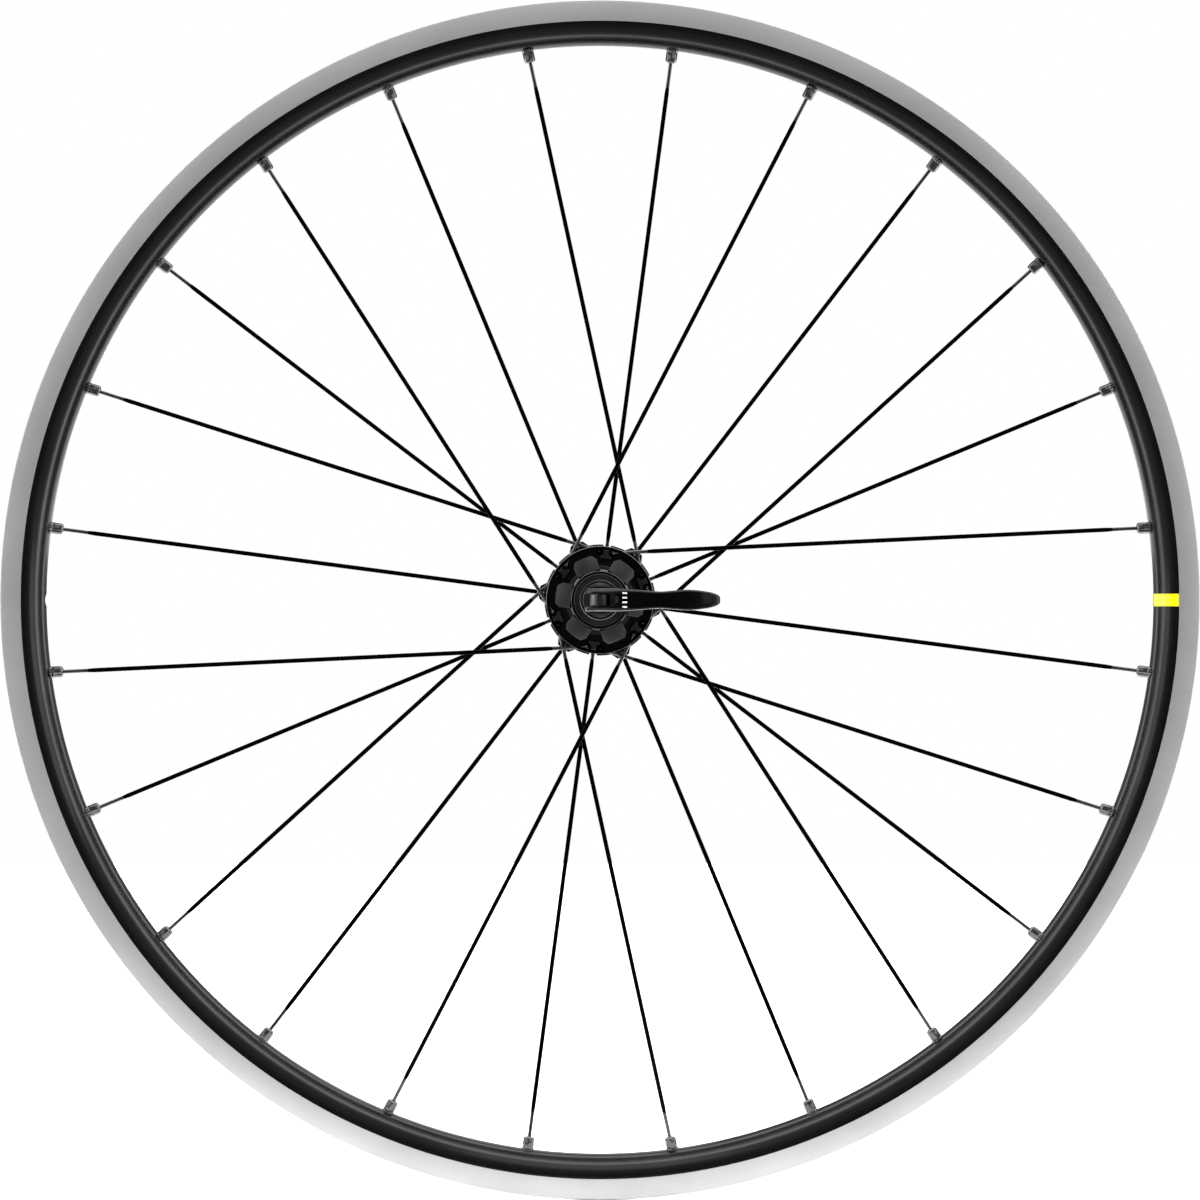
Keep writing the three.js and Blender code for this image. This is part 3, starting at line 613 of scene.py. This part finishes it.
def pad_block():
    """One faced pad: a hexagon seen from the lever side, sloping down towards the flange."""
    bm = prism(
        [(14.9, -6.2), (20.6, -6.6), (23.2, -4.8), (23.6, 0), (23.2, 4.8), (20.6, 6.6), (14.9, 6.2)], -43.2, -36.5,
    )
    for v in bm.verts:
        if v.co.y < -40 * MM:
            radius = math.hypot(v.co.x, v.co.z) / MM
            v.co.y = (-42.6 + (radius - 15.4) * 2.1 / 7.7) * MM
    top = [e for e in bm.edges if all(v.co.y < -38 * MM for v in e.verts)]
    return round_edges(bm, 0.35, edges=top, segments=2)


def web_block():
    """The wall between the two spoke heads of a station."""
    bm = polar_prism([(22.0, -7.2), (26.8, -6), (26.8, 6), (22.0, 7.2)], -39.2, -36)
    return round_edges(bm, 0.3, edges=[e for e in bm.edges if all(v.co.y < -38 * MM for v in e.verts)])


def lug_block():
    """A lug that holds a radial spoke further out on the freehub side."""
    bm = polar_prism([(26, -11), (29.4, -11), (32.5, -6), (32.7, 0), (32.5, 6), (29.4, 11), (26, 11)], 14.2, 20.2)
    return round_edges(bm, 0.5, over=25)


def notch_block():
    return polar_prism([(28.5, -3.5), (31, -5), (31, 5), (28.5, 3.5)], 13, 21.4)


def at_angle(bm, angle):
    return transformed(bm, Matrix.Rotation(math.radians(-angle), 4, "Y"))


def spoke_pockets():
    """A pocket for each head, open to the lever side, and the tunnel its spoke leaves through."""
    tools = []
    for kind in ("radial", "crossed"):
        for number in range(12):
            head, seat, _ = spoke_line(kind, number)
            direction = (seat - head).normalized()
            middle = head - direction * 0.7 * MM
            mouth = -45 * MM if middle.y < 0 else 12 * MM
            floor = middle.y + 1.95 * MM
            start = Vector((middle.x, mouth, middle.z))
            tools.append(rod(start, Vector((middle.x, floor, middle.z)), 2.2, 20))
            reach_out = (22 if middle.y < 0 else 8) * MM
            tools.append(rod(middle, head + direction * reach_out, 1.5, 16))
    return tools


def hub_face(face):
    """0 black body, 1 faced grey pads and webs, 2 thin edge rings with a painted highlight."""
    centre, normal = face.calc_center_median() / MM, face.normal
    radius = math.hypot(centre.x, centre.z)
    if centre.y < -38.4 and normal.y < -0.6:
        if 15.6 < radius < 23.6 and centre.y < -39.9:
            return 1
        if 21.5 < radius < 27 and centre.y < -38.9:
            return 1
    # Thin rings at the mouth chamfer and the flange lip get the painted highlight.
    if 14.95 < radius < 15.3 and centre.y < -42.7:
        return 2
    if 28.1 < radius < 28.5 and centre.y < -38.95:
        return 2
    return 0


def build_hub_shell():
    body = shell_blank()
    pads = [at_angle(pad_block(), PAD_ANGLE + 60 * i) for i in GROUPS]
    webs = [at_angle(web_block(), STATION_ANGLE + 60 * i) for i in GROUPS]
    lugs = [at_angle(lug_block(), PAD_ANGLE + 60 * i) for i in GROUPS]
    notches = [at_angle(notch_block(), STATION_ANGLE + 60 * i) for i in GROUPS]
    body = combine(body, pads + webs + lugs, "UNION")
    body = combine(body, notches + spoke_pockets(), "DIFFERENCE")
    finish_mesh(
        "hub_shell", body, [HUB_BLACK, HUB_FACET, HUB_EDGE_HIGHLIGHT], "wheel", ["hub_shell"],
        sharp=28, faces_to=hub_face,
    )


# ---- axle, end caps and bearings ----------------------------------------------------------------

def build_axle_parts():
    pieces = [
        ("left_end_cap", [
            (5.3, -64.7), (5.6, -65), (9.1, -65), (9.5, -64.6), (9.5, -59.4), (9.1, -58.8), (8.4, -57.8),
            (8.3, -57.3), (8.3, -47.3), (8.6, -46.9), (13.3, -45.7), (13.6, -45.4), (13.6, -43.9), (13.3, -43.6),
            (7.7, -43.6), (7.7, -40.35), (6.15, -40.35), (6.15, -59.3), (5.3, -59.3),
        ], CAP_BLACK, "axle", "cap_black"),
        ("right_end_cap", [
            (6.15, 58.15), (7.4, 58.15), (7.4, 59.2), (11.1, 59.2), (11.4, 59.5), (11.4, 60.3), (11.1, 60.7),
            (9.7, 61.2), (9.5, 61.6), (9.5, 64.6), (9.1, 65), (5.6, 65), (5.3, 64.7), (5.3, 59.3), (6.15, 59.3),
        ], CAP_BLACK, "axle", "cap_black"),
        ("left_dust_seal", [
            (8.1, -43.0), (8.3, -43.1), (9.6, -43.1), (9.9, -42.8), (10.6, -42.8), (10.9, -43.1), (12.6, -43.1),
            (12.9, -42.8), (13.4, -42.8), (13.6, -43.1), (13.9, -42.9), (13.9, -41), (12.2, -40.8), (8.1, -41.6),
        ], RUBBER, "wheel", "black_rubber"),
        ("freehub_seal", [
            (14.6, 21.9), (15.4, 21.82), (15.9, 21.95), (16.5, 21.74), (17.2, 21.7), (17.2, 22.3), (14.6, 22.3),
        ], RUBBER, "freehub", "black_rubber"),
        ("nut_washer", [
            (6.4, 72.15), (6.6, 72), (9.6, 72), (9.9, 72.2), (9.9, 73.1), (9.6, 73.4), (6.6, 73.4), (6.4, 73.2),
        ], STEEL, "nut_washer", "bright_steel"),
    ]
    for name, outline, look, body, slot in pieces:
        finish_mesh(name, turned(outline, steps=96), [look], body, [name], sharp=40)


def axle_body():
    """The hollow axle, with chamfered ends and a bore for the skewer."""
    outline = [
        (2.8, -70.1), (3.2, -70.5), (4.7, -70.5), (5, -70.2), (5, -59), (6, -59), (6, -33.9), (7, -33.9),
        (7, 7.9), (6, 7.9), (6, 59), (5, 59), (5, 70.2), (4.7, 70.5), (3.2, 70.5), (2.8, 70.1),
    ]
    finish_mesh("axle", turned(outline, steps=72), [BARE_ALUMINIUM], "axle", ["axle"], sharp=40)


def build_bearings():
    """Ground races with a ball groove, a pressed cage and eight balls each."""
    places = {"left_hub": (-40.2, "wheel", "left_hub_balls"), "right_hub": (8.2, "wheel", "right_hub_balls"),
              "inner_freehub": (31, "freehub", "inner_freehub_balls"),
              "outer_freehub": (52, "freehub", "outer_freehub_balls")}
    for name, (y, outer_body, balls_body) in places.items():
        groove = [(3 + 1.6 * math.sin(math.radians(a)), 1.6 * math.cos(math.radians(a))) for a in range(-60, 61, 20)]
        outer = [(10.5, 0.1), (10.6, 0), (11.8, 0), (12, 0.2), (12, 5.8), (11.8, 6), (10.6, 6), (10.5, 5.9)]
        outer += [(9.25 + depth, place) for place, depth in reversed(groove)]
        inner = [(6.15, 0.2), (6.3, 0), (7.4, 0), (7.5, 0.1)]
        inner += [(8.75 - depth, place) for place, depth in groove]
        inner += [(7.5, 5.9), (7.4, 6), (6.3, 6), (6.15, 5.8)]
        for half, outline, body in (("outer", outer, outer_body), ("inner", inner, "axle")):
            bm = turned([(r, y + place) for r, place in outline], steps=72)
            piece = f"{name}_bearing_{half}_race"
            finish_mesh(piece, bm, [BEARING_STEEL], body, [piece], sharp=40)
        cage = turned([(8.3, y + 2.2), (9.7, y + 2.2), (9.7, y + 3.8), (8.3, y + 3.8)], steps=64)
        round_edges(cage, 0.15)
        balls = []
        for i in range(8):
            ball = bmesh.new()
            bmesh.ops.create_icosphere(ball, subdivisions=3, radius=1.55 * MM)
            balls.append(transformed(ball, Matrix.Translation(polar(45 * i, 9 * MM, (y + 3) * MM))))
        whole = combine(cage, balls, "UNION")
        piece = f"{name}_bearing_ball_cage"
        finish_mesh(piece, whole, [BEARING_STEEL], balls_body, [piece], sharp=40)


# ---- ratchet and freehub ------------------------------------------------------------------------

def splined_outline():
    """Nine splines with rounded corners; one groove is narrower so sprockets fit one way only."""
    points = []
    for i in range(9):
        start, end = 40 * i, 40 * i + 40 * (0.62 if i == 0 else 0.5)
        points += [(17.3, start), (17.45, start + 1)]
        points += [(17.5, start + 1 + (end - start - 2) * k / 6) for k in range(1, 6)]
        points += [(17.45, end - 1), (17.3, end), (16.2, end + 1.4), (16.1, end + 2.2)]
        points += [(16.1, end + 2.2 + (40 * i + 40 - end - 4.4) * k / 5) for k in range(1, 5)]
        points += [(16.1, 40 * i + 37.8), (16.2, 40 * i + 38.6)]
    return points


def build_freehub():
    body = polar_prism(splined_outline(), 24, 60.5)
    rim_edges = [e for e in body.edges if all(v.co.y > 60.4 * MM for v in e.verts)]
    round_edges(body, 0.5, edges=rim_edges)
    collar = turned([
        (11.5, 22.6), (18.1, 22.6), (18.4, 22.9), (18.4, 24.3), (18.1, 24.6), (17.2, 24.9), (11.5, 24.9),
    ], steps=120)
    body = combine(body, [collar], "UNION")
    bore = turned([
        (0, 21.6), (14, 21.6), (14, 30), (11.2, 30), (11.2, 30.8), (12.15, 30.8), (12.15, 37), (11.2, 37),
        (11.2, 51.8), (12.15, 51.8), (12.15, 59.6), (13.0, 60.6), (13, 61.5), (0, 61.5),
    ], steps=96)
    grooves = [
        polar_prism([(12, a - 9.5), (14.9, a - 9.5), (14.9, a + 9.5), (12, a + 9.5)], 21.6, 29.6) for a in (0, 120, 240)
    ]
    drilled = [rod(polar(40 * i + 31, 15.2 * MM, 46 * MM), polar(40 * i + 31, 19 * MM, 46 * MM), 1.1, 16)
               for i in (2, 5, 8)]
    ring_groove = turned([(16.9, 57.2), (18.5, 57.2), (18.5, 57.9), (16.9, 57.9)], steps=120)
    body = combine(body, [bore, *grooves, *drilled, ring_groove], "DIFFERENCE")
    finish_mesh(
        "freehub_body", body, [FREEHUB_METAL], "freehub", ["freehub_body"], sharp=30,
    )
    thread = turned(
        [(12.16, 59.4)] + [(12.75 if k % 2 else 12.2, 59.45 + 0.12 * k) for k in range(8)] + [(12.9, 60.4), (13.1, 60.45)],
        steps=96, closed=False,
    )
    finish_mesh("freehub_lockring_thread", thread, [FREEHUB_METAL], "freehub", sharp=60)


def ratchet_tooth(root, rise):
    """A saw tooth: a ramp that rises round the axle to a steep side."""
    bm = prism([(9.9, -1.58), (13.4, -1.58), (13.4, 1.58), (9.9, 1.58)], root - 0.3 * rise, root)
    for v in bm.verts:
        if abs(v.co.y / MM - root) < 0.01:
            v.co.y = (root + (rise if v.co.z * rise > 0 else 0.02 * rise)) * MM
    return bm


def build_ratchet():
    hub_ring = turned([(9.5, 15), (16.8, 15), (17, 15.2), (17, 18.8), (16.8, 19), (9.5, 19)], steps=96)
    teeth = [at_angle(ratchet_tooth(19, 1.2), 20 * i) for i in range(18)]
    finish_mesh(
        "hub_ratchet_ring", combine(hub_ring, teeth, "UNION"), [BEARING_STEEL], "wheel",
        ["hub_ratchet_ring"], sharp=30,
    )
    low, high = span_y("sliding_ratchet_ring")
    root = high / MM - 3.6
    slider = turned([(9.5, root), (13.5, root), (13.5, root + 3.4), (13.3, root + 3.6), (9.5, root + 3.6)], steps=96)
    teeth = [at_angle(ratchet_tooth(root, -1.2), -20 * i) for i in range(18)]
    lugs = [polar_prism([(12, a - 8), (14.4, a - 8), (14.4, a + 8), (12, a + 8)], root + 1.4, root + 3.6)
            for a in (0, 120, 240)]
    finish_mesh(
        "sliding_ratchet_ring", combine(slider, teeth + lugs, "UNION"), [BEARING_STEEL], "ratchet_slider",
        ["sliding_ratchet_ring"], sharp=30,
    )


def coil(name, radii, ends, body):
    """A round wire wound about the axle from one radius and place to another."""
    turns, wire, steps = 2.5, 0.4, 90
    rings = []
    for step in range(steps + 1):
        share = step / steps
        radius = radii[0] + (radii[1] - radii[0]) * share
        place = ends[0] + (ends[1] - ends[0]) * share
        rings.append([
            polar(360 * turns * share, (radius + wire * co.x) * MM, (place + wire * co.z) * MM)
            for co in circle_points(12)
        ])
    return finish_mesh(name, skin(rings), [STEEL], body, [name], sharp=60)


def build_springs():
    low, high = span_y("ratchet_spring")
    spring = coil("ratchet_spring", (12, 12.6), (low / MM + 0.4, high / MM - 0.4), None)
    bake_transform(spring)
    coil("left_cone_spring", (7, 3.8), (-73.8, -71.3), "cam_cup")
    coil("right_cone_spring", (3.8, 5.6), (71.3, 72.9), "nut_washer")


# ---- quick release ------------------------------------------------------------------------------

def build_rod():
    """The skewer: a cross barrel at the lever end and a rolled thread at the nut end."""
    thread = [(2.5 if k % 2 else 2.2, 64 + 0.4 * k) for k in range(54)]
    outline = [(0, -88.4), (2.5, -88.4), (2.5, 63.6)] + thread + [(2.3, 85.7), (2.0, 86), (0, 86)]
    shaft = turned(outline, steps=32, closed=False)
    pivot = PIVOT_Y
    barrel = loft([(-3.1, 4.9, 4.9), (-2.9, 5.15, 5.15), (-2.6, 5.2, 5.2), (2.6, 5.2, 5.2), (2.9, 5.15, 5.15),
                   (3.1, 4.9, 4.9)], sides=64)
    transformed(barrel, Matrix.Translation((0, pivot, 0)) @ Matrix.Rotation(math.radians(90), 4, "X"))
    body = combine(shaft, [barrel], "UNION")
    hole = rod(Vector((0, pivot, -5 * MM)), Vector((0, pivot, 5 * MM)), 2.3, 32)
    body = combine(body, [hole], "DIFFERENCE")
    finish_mesh("skewer_rod", body, [BARREL_DARK], "skewer_rod", ["skewer_rod"], sharp=40)


def between(table, x):
    """Reads a smooth curve through (x, value) points."""
    for (x0, v0), (x1, v1) in zip(table, table[1:]):
        if x <= x1:
            share = max(0.0, (x - x0) / (x1 - x0))
            share = share * share * (3 - 2 * share) * 0.35 + share * 0.65
            return v0 + (v1 - v0) * share
    return table[-1][1]


LEVER_PLAN = [(-9, 6.05), (8, 6.1), (14, 5.75), (21, 5.2), (27, 4.65), (32, 4.4), (38, 4.9), (45, 5.42), (48.5, 5.35),
              (52, 4.95), (56, 4.4), (58.6, 3.85), (60.4, 3.2), (61.6, 2.65), (62.3, 2.0), (62.7, 1.3)]
LEVER_FRONT = [(0, -6.7), (5, -6.62), (10, -6.6), (16, -7.2), (22, -7.9), (28, -8.4), (34, -8.6), (40, -8.3),
               (46, -7.6), (52, -6.2), (57, -4.4), (60.5, -2.5), (62.7, -0.9)]
LEVER_BACK = [(7, 6.4), (10, 4.4), (13, 2.2), (17, 0.4), (22, -1.6), (28, -2.8), (34, -3.2), (40, -3.1), (46, -2.6),
              (52, -1.4), (56, -0.6), (60, 0.2), (62.7, 0.6)]


def lever_limits(x):
    """Where the lever's front and back lie at a place along it, from the pivot."""
    if x >= 0:
        front = between(LEVER_FRONT, x)
    if x < 7:
        spiral = [(7.9 + 1.2 * math.cos(math.radians(a - 90)), a) for a in range(0, 361)]
        ys = []
        for step in range(181):
            angle = 90 + step
            radius = 9.05 - 2.4 * step / 180
            ys.append((radius * math.cos(math.radians(angle)), radius * math.sin(math.radians(angle))))
        if x < 0:
            upper = min((p for p in ys if p[1] >= 0), key=lambda p: abs(p[0] - x))
            lower = min((p for p in ys if p[1] < 0), key=lambda p: abs(p[0] - x))
            return lower[1], upper[1]
        return front, between([(0, 9.05), (2, 8.9), (4, 8.2), (7, 6.4)], x)
    return front, between(LEVER_BACK, x)


def lever_ring(x):
    """A rounded section across the lever, a little hollow on its front."""
    front, back = lever_limits(x)
    half = between(LEVER_PLAN, x)
    middle, depth = (front + back) / 2, (back - front) / 2
    hollow = 0.45 * max(0.0, min(1.0, (x - 9) / 8)) * max(0.0, min(1.0, (54 - x) / 10))
    points = []
    for k in range(48):
        angle = 2 * math.pi * k / 48
        c, s = math.cos(angle), math.sin(angle)
        z = half * soften(c, 0.5)
        y = depth * soften(s, 0.58)
        if s < 0:
            y += hollow * max(0.0, 1 - (z / (half * 0.8)) ** 2)
        points.append(Vector((x, middle + y, z)) * MM + Vector((0, PIVOT_Y, 0)))
    return points


def build_lever():
    places = [-7.85, -7.8, -7.6, -7.2, -6.6, -5.8, -4.8, -3.6, -2.2, -0.8, 0.6, 2, 4, 6, 7, 8, 10, 12, 14, 17, 20]
    places += [23, 26, 29, 32, 35, 38, 41, 44, 47, 50, 52.5, 54.5, 56.5, 58, 59.3, 60.4, 61.3, 62, 62.4, 62.7]
    body = skin([lever_ring(x) for x in places])
    slot = prism([(-12, -3.4), (7.9, -3.4), (7.9, 3.4), (-12, 3.4)], PIVOT_Y / MM - 12, PIVOT_Y / MM + 12)
    pin = rod(Vector((0, PIVOT_Y, -8 * MM)), Vector((0, PIVOT_Y, 8 * MM)), 2.3, 40)
    body = combine(body, [slot], "DIFFERENCE")
    rim_edges = [
        e for e in body.edges if len(e.link_faces) == 2 and e.calc_face_angle(0) > 0.7
        and all(abs(abs(v.co.z) - 3.4 * MM) < 1e-6 or abs(v.co.x - 7.9 * MM) < 1e-6 for v in e.verts)
    ]
    round_edges(body, 0.22, edges=rim_edges)
    body = combine(body, [pin], "DIFFERENCE")
    finish_mesh("skewer_lever", body, [LEVER_BLACK], "lever", ["skewer_lever"], sharp=35)
    pin = loft([(-5.85, 1.5, 1.5), (-5.75, 1.85, 1.85), (-5.5, 2, 2), (5.5, 2, 2), (5.75, 1.85, 1.85), (5.85, 1.5, 1.5)],
               sides=40)
    transformed(pin, Matrix.Translation((0, PIVOT_Y, 0)) @ Matrix.Rotation(math.radians(90), 4, "X"))
    finish_mesh("lever_pin", pin, [STEEL], "lever", ["lever_pin"], sharp=40)


def build_lever_mark():
    """A generic closed-position mark: short white strokes across the arm."""
    strokes = []
    for z in (-3.6, -1.2, 1.2, 3.6):
        front, _ = lever_limits(12.9)
        y = PIVOT_Y / MM + front
        bar = prism([(11.7, z - 0.45), (14.1, z - 0.45), (14.1, z + 0.45), (11.7, z + 0.45)], y - 0.06, y + 0.5)
        strokes.append(bar)
    whole = strokes[0]
    for extra in strokes[1:]:
        mesh = bpy.data.meshes.new("stroke")
        extra.to_mesh(mesh)
        extra.free()
        whole.from_mesh(mesh)
        bpy.data.meshes.remove(mesh)
    finish_mesh("lever_closed_mark", whole, [WHITE_PRINT], "lever", sharp=40)


def build_cup():
    """The metal cup with a serrated clamp face, and the nylon saddle that the cam bears on."""
    cup = turned([
        (7.6, -72), (7.6, -74.4), (2.8, -74.4), (2.8, -76), (9.3, -76), (9.3, -78.6), (9.5, -78.8), (9.9, -78.8),
        (10.3, -78.6), (10.5, -78.2), (10.5, -72.3), (10.2, -72),
    ], steps=120)
    grooves = [at_angle(prism([(7.4, -0.16), (10.8, -0.16), (10.8, 0.16), (7.4, 0.16)], -72.35, -71.5), 10 * i)
               for i in range(36)]
    cup = combine(cup, grooves, "DIFFERENCE")
    finish_mesh("cam_cup", cup, [SKEWER_GREY], "cam_cup", ["cam_cup"], sharp=30)
    saddle = turned([
        (2.8, -79), (2.8, -76.3), (9, -76.3), (9, -78.8), (8.8, -79),
    ], steps=96)
    extras = []
    for side in (-1, 1):
        cheek = [(x, side * z) for x, z in cheek_outline(6.6, 8.95)]
        block = prism(cheek, -80.6, -78.9)
        extras.append(block)
        for z, lift in ((7.05, 1.0), (7.75, 0.75), (8.4, 0.4)):
            half = math.sqrt(8.95 ** 2 - z ** 2) * 0.96
            sections = [(-half, 0.08, 0.08), (-half * 0.75, 0.2, 0.26), (-half * 0.4, 0.3, 0.42), (0, 0.33, 0.5),
                        (half * 0.4, 0.3, 0.42), (half * 0.75, 0.2, 0.26), (half, 0.08, 0.08)]
            rib = loft(sections, sides=16)
            turn = Matrix.Translation((0, (-80.5 - lift * 0.5) * MM, side * z * MM))
            transformed(rib, turn @ Matrix.Rotation(math.radians(-90), 4, "Z"))
            extras.append(rib)
    saddle = combine(saddle, extras, "UNION")
    finish_mesh("cam_saddle", saddle, [NYLON], "cam_cup", ["cam_saddle"], sharp=40)


def cheek_outline(inner, outer):
    """A slice of a disc beyond a straight line."""
    half = math.acos(inner / outer)
    arc = [math.pi / 2 - half + 2 * half * k / 16 for k in range(17)]
    return [(outer * math.cos(a), outer * math.sin(a)) for a in arc]


def build_nut():
    """The adjusting nut: six finger grips, a turned waist and a nylon lock insert."""
    start = 73.7
    body = turned([
        (2.8, start + 0.2), (3.0, start), (9.6, start), (9.8, start + 0.2), (10, start + 2.1), (9.9, start + 2.6),
        (8.6, start + 4.2), (8.15, start + 5), (8, start + 6), (7.95, start + 7.4), (7.6, start + 8.6),
        (7.2, start + 9.3), (6.8, start + 9.6), (5.1, start + 9.6), (4.9, start + 9.4), (4.9, start + 7),
        (2.8, start + 7),
    ], steps=120)
    grips = [rod(polar(60 * i, 10.4 * MM, (start + 3.4) * MM), polar(60 * i, 10.4 * MM, (start + 12) * MM), 3, 40)
             for i in GROUPS]
    knurls = [at_angle(prism([(9.55, -0.13), (10.4, -0.13), (10.4, 0.13), (9.55, 0.13)], start + 0.4, start + 2.2), 6 * i)
              for i in range(60)]
    body = combine(body, grips, "DIFFERENCE")
    body = combine(body, knurls, "DIFFERENCE")
    finish_mesh("adjusting_nut", body, [SKEWER_GREY], "adjusting_nut", ["adjusting_nut"], sharp=30)
    insert = turned([
        (2.8, 81.2), (3.0, 81), (4.4, 81), (4.6, 81.2), (4.6, 82.8), (4.4, 83), (3.0, 83), (2.8, 82.8),
    ], steps=64)
    finish_mesh("nut_lock_insert", insert, [NYLON], "adjusting_nut", ["nut_lock_insert"], sharp=40)


def finish_hidden_nodes():
    """The spacers inside the hub keep their own solids, with the right metal."""
    for name in ("ratchet_spacer", "freehub_spacer"):
        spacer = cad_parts[name]
        for place in spacer.material_slots:
            place.material = BARE_ALUMINIUM


# ---- stage --------------------------------------------------------------------------------------

CAMERA_DISTANCE = 6.0
SENSOR = 36.0


def build_world():
    """A white room with its light wrapped round the sides, so that rounded edges catch it and flat
    faces square to the axle stay calm."""
    world = bpy.data.worlds.new("studio")
    bpy.context.scene.world = world
    world.use_nodes = True
    tree = world.node_tree
    tree.nodes.clear()
    direction = node(tree, "ShaderNodeTexCoord").outputs["Generated"]
    apart = node(tree, "ShaderNodeSeparateXYZ", {"Vector": direction})
    along = node(tree, "ShaderNodeMath", {0: apart.outputs["Y"]}, operation="ABSOLUTE").outputs["Value"]
    ramp = node(tree, "ShaderNodeFloatCurve", {"Value": along})
    curve = ramp.mapping.curves[0]
    for (share, level), point in zip(ROOM_LIGHT[:2], curve.points):
        point.location = (share, level / ROOM_PEAK)
    for share, level in ROOM_LIGHT[2:]:
        curve.points.new(share, level / ROOM_PEAK)
    ramp.mapping.update()
    strength = node(tree, "ShaderNodeMath", {0: ramp.outputs["Value"]}, operation="MULTIPLY")
    strength.inputs[1].default_value = ROOM_PEAK
    lit = node(tree, "ShaderNodeBackground", {"Strength": strength.outputs["Value"]}, Color=(1, 1, 1, 1))
    seen = node(tree, "ShaderNodeBackground", Color=(1, 1, 1, 1), Strength=1.0)
    path = node(tree, "ShaderNodeLightPath").outputs["Is Camera Ray"]
    both = node(tree, "ShaderNodeMixShader", {"Fac": path, 1: lit.outputs[0], 2: seen.outputs[0]})
    node(tree, "ShaderNodeOutputWorld", {"Surface": both.outputs[0]})


def area_light(name, place, target, size, watts):
    data = bpy.data.lights.new(name, "AREA")
    data.shape = "RECTANGLE"
    data.size, data.size_y = size
    data.energy = watts
    lamp = bpy.data.objects.new(name, data)
    lamp.location = place
    lamp.rotation_euler = (Vector(target) - Vector(place)).to_track_quat("-Z", "Y").to_euler()
    bpy.context.scene.collection.objects.link(lamp)


def build_floor():
    """A pale matt floor just under the rim, mostly behind it so the metal does not mirror it."""
    bm = bmesh.new()
    bmesh.ops.create_grid(bm, x_segments=1, y_segments=1, size=FLOOR_SIZE)
    bmesh.ops.translate(bm, verts=bm.verts, vec=(0, FLOOR_SIZE - FLOOR_FRONT, CAD_BOX[0][2] - 0.001))
    mesh = bpy.data.meshes.new("floor")
    bm.to_mesh(mesh)
    bm.free()
    mesh.materials.append(FLOOR_PAINT)
    floor = bpy.data.objects.new("floor", mesh)
    bpy.context.scene.collection.objects.link(floor)


def build_camera():
    """Square on to the lever side, far off, with the wheel filling the frame."""
    data = bpy.data.cameras.new("camera")
    data.sensor_width = SENSOR
    nearest = CAMERA_DISTANCE - RIM_HALF
    data.lens = SENSOR * nearest / (2 * RIM_OUT)
    data.clip_end = 50
    camera = bpy.data.objects.new("camera", data)
    camera.location = (0, -CAMERA_DISTANCE, 0)
    camera.rotation_euler = (math.radians(90), 0, 0)
    bpy.context.scene.collection.objects.link(camera)
    bpy.context.scene.camera = camera


bpy.context.scene.view_settings.view_transform = "Standard"

# How bright the room is, from square to the axle (0) to straight along it (1).
ROOM_PEAK = 7.0
FLOOR_SIZE = 4.0    # half its side
FLOOR_FRONT = 0.3   # how far it reaches in front of the wheel
ROOM_LIGHT = [(0.0, 7.0), (1.0, 0.14), (0.24, 6.4), (0.4, 2.4), (0.5, 0.9), (0.65, 0.45), (0.85, 0.36), (0.95, 0.2)]
FLOOR_PAINT = polymer("matt_floor_paint", "#E9E9E9", "#EEEEEE", (0.7, 0.85), 2.0, 0.02)


# ---- build --------------------------------------------------------------------------------------

build_rim()
build_rim_band()
build_spokes()
build_hub_shell()
build_axle_parts()
axle_body()
build_bearings()
build_freehub()
build_ratchet()
build_springs()
build_rod()
build_lever()
build_lever_mark()
build_cup()
build_nut()
finish_hidden_nodes()
build_world()
build_floor()
build_camera()
area_light("left", (-2.6, -2.4, 0.5), (0, 0, 0), (1.2, 1.2), 5)
area_light("right", (2.4, -2.4, 0.4), (0, 0, 0), (1.2, 1.2), 6)
area_light("top", (0, -2.2, 2.4), (0, 0, 0.2), (1.2, 1.2), 4)
area_light("back", (0.5, 2.4, 1.8), (0, 0, 0), (1.8, 1.2), 9)
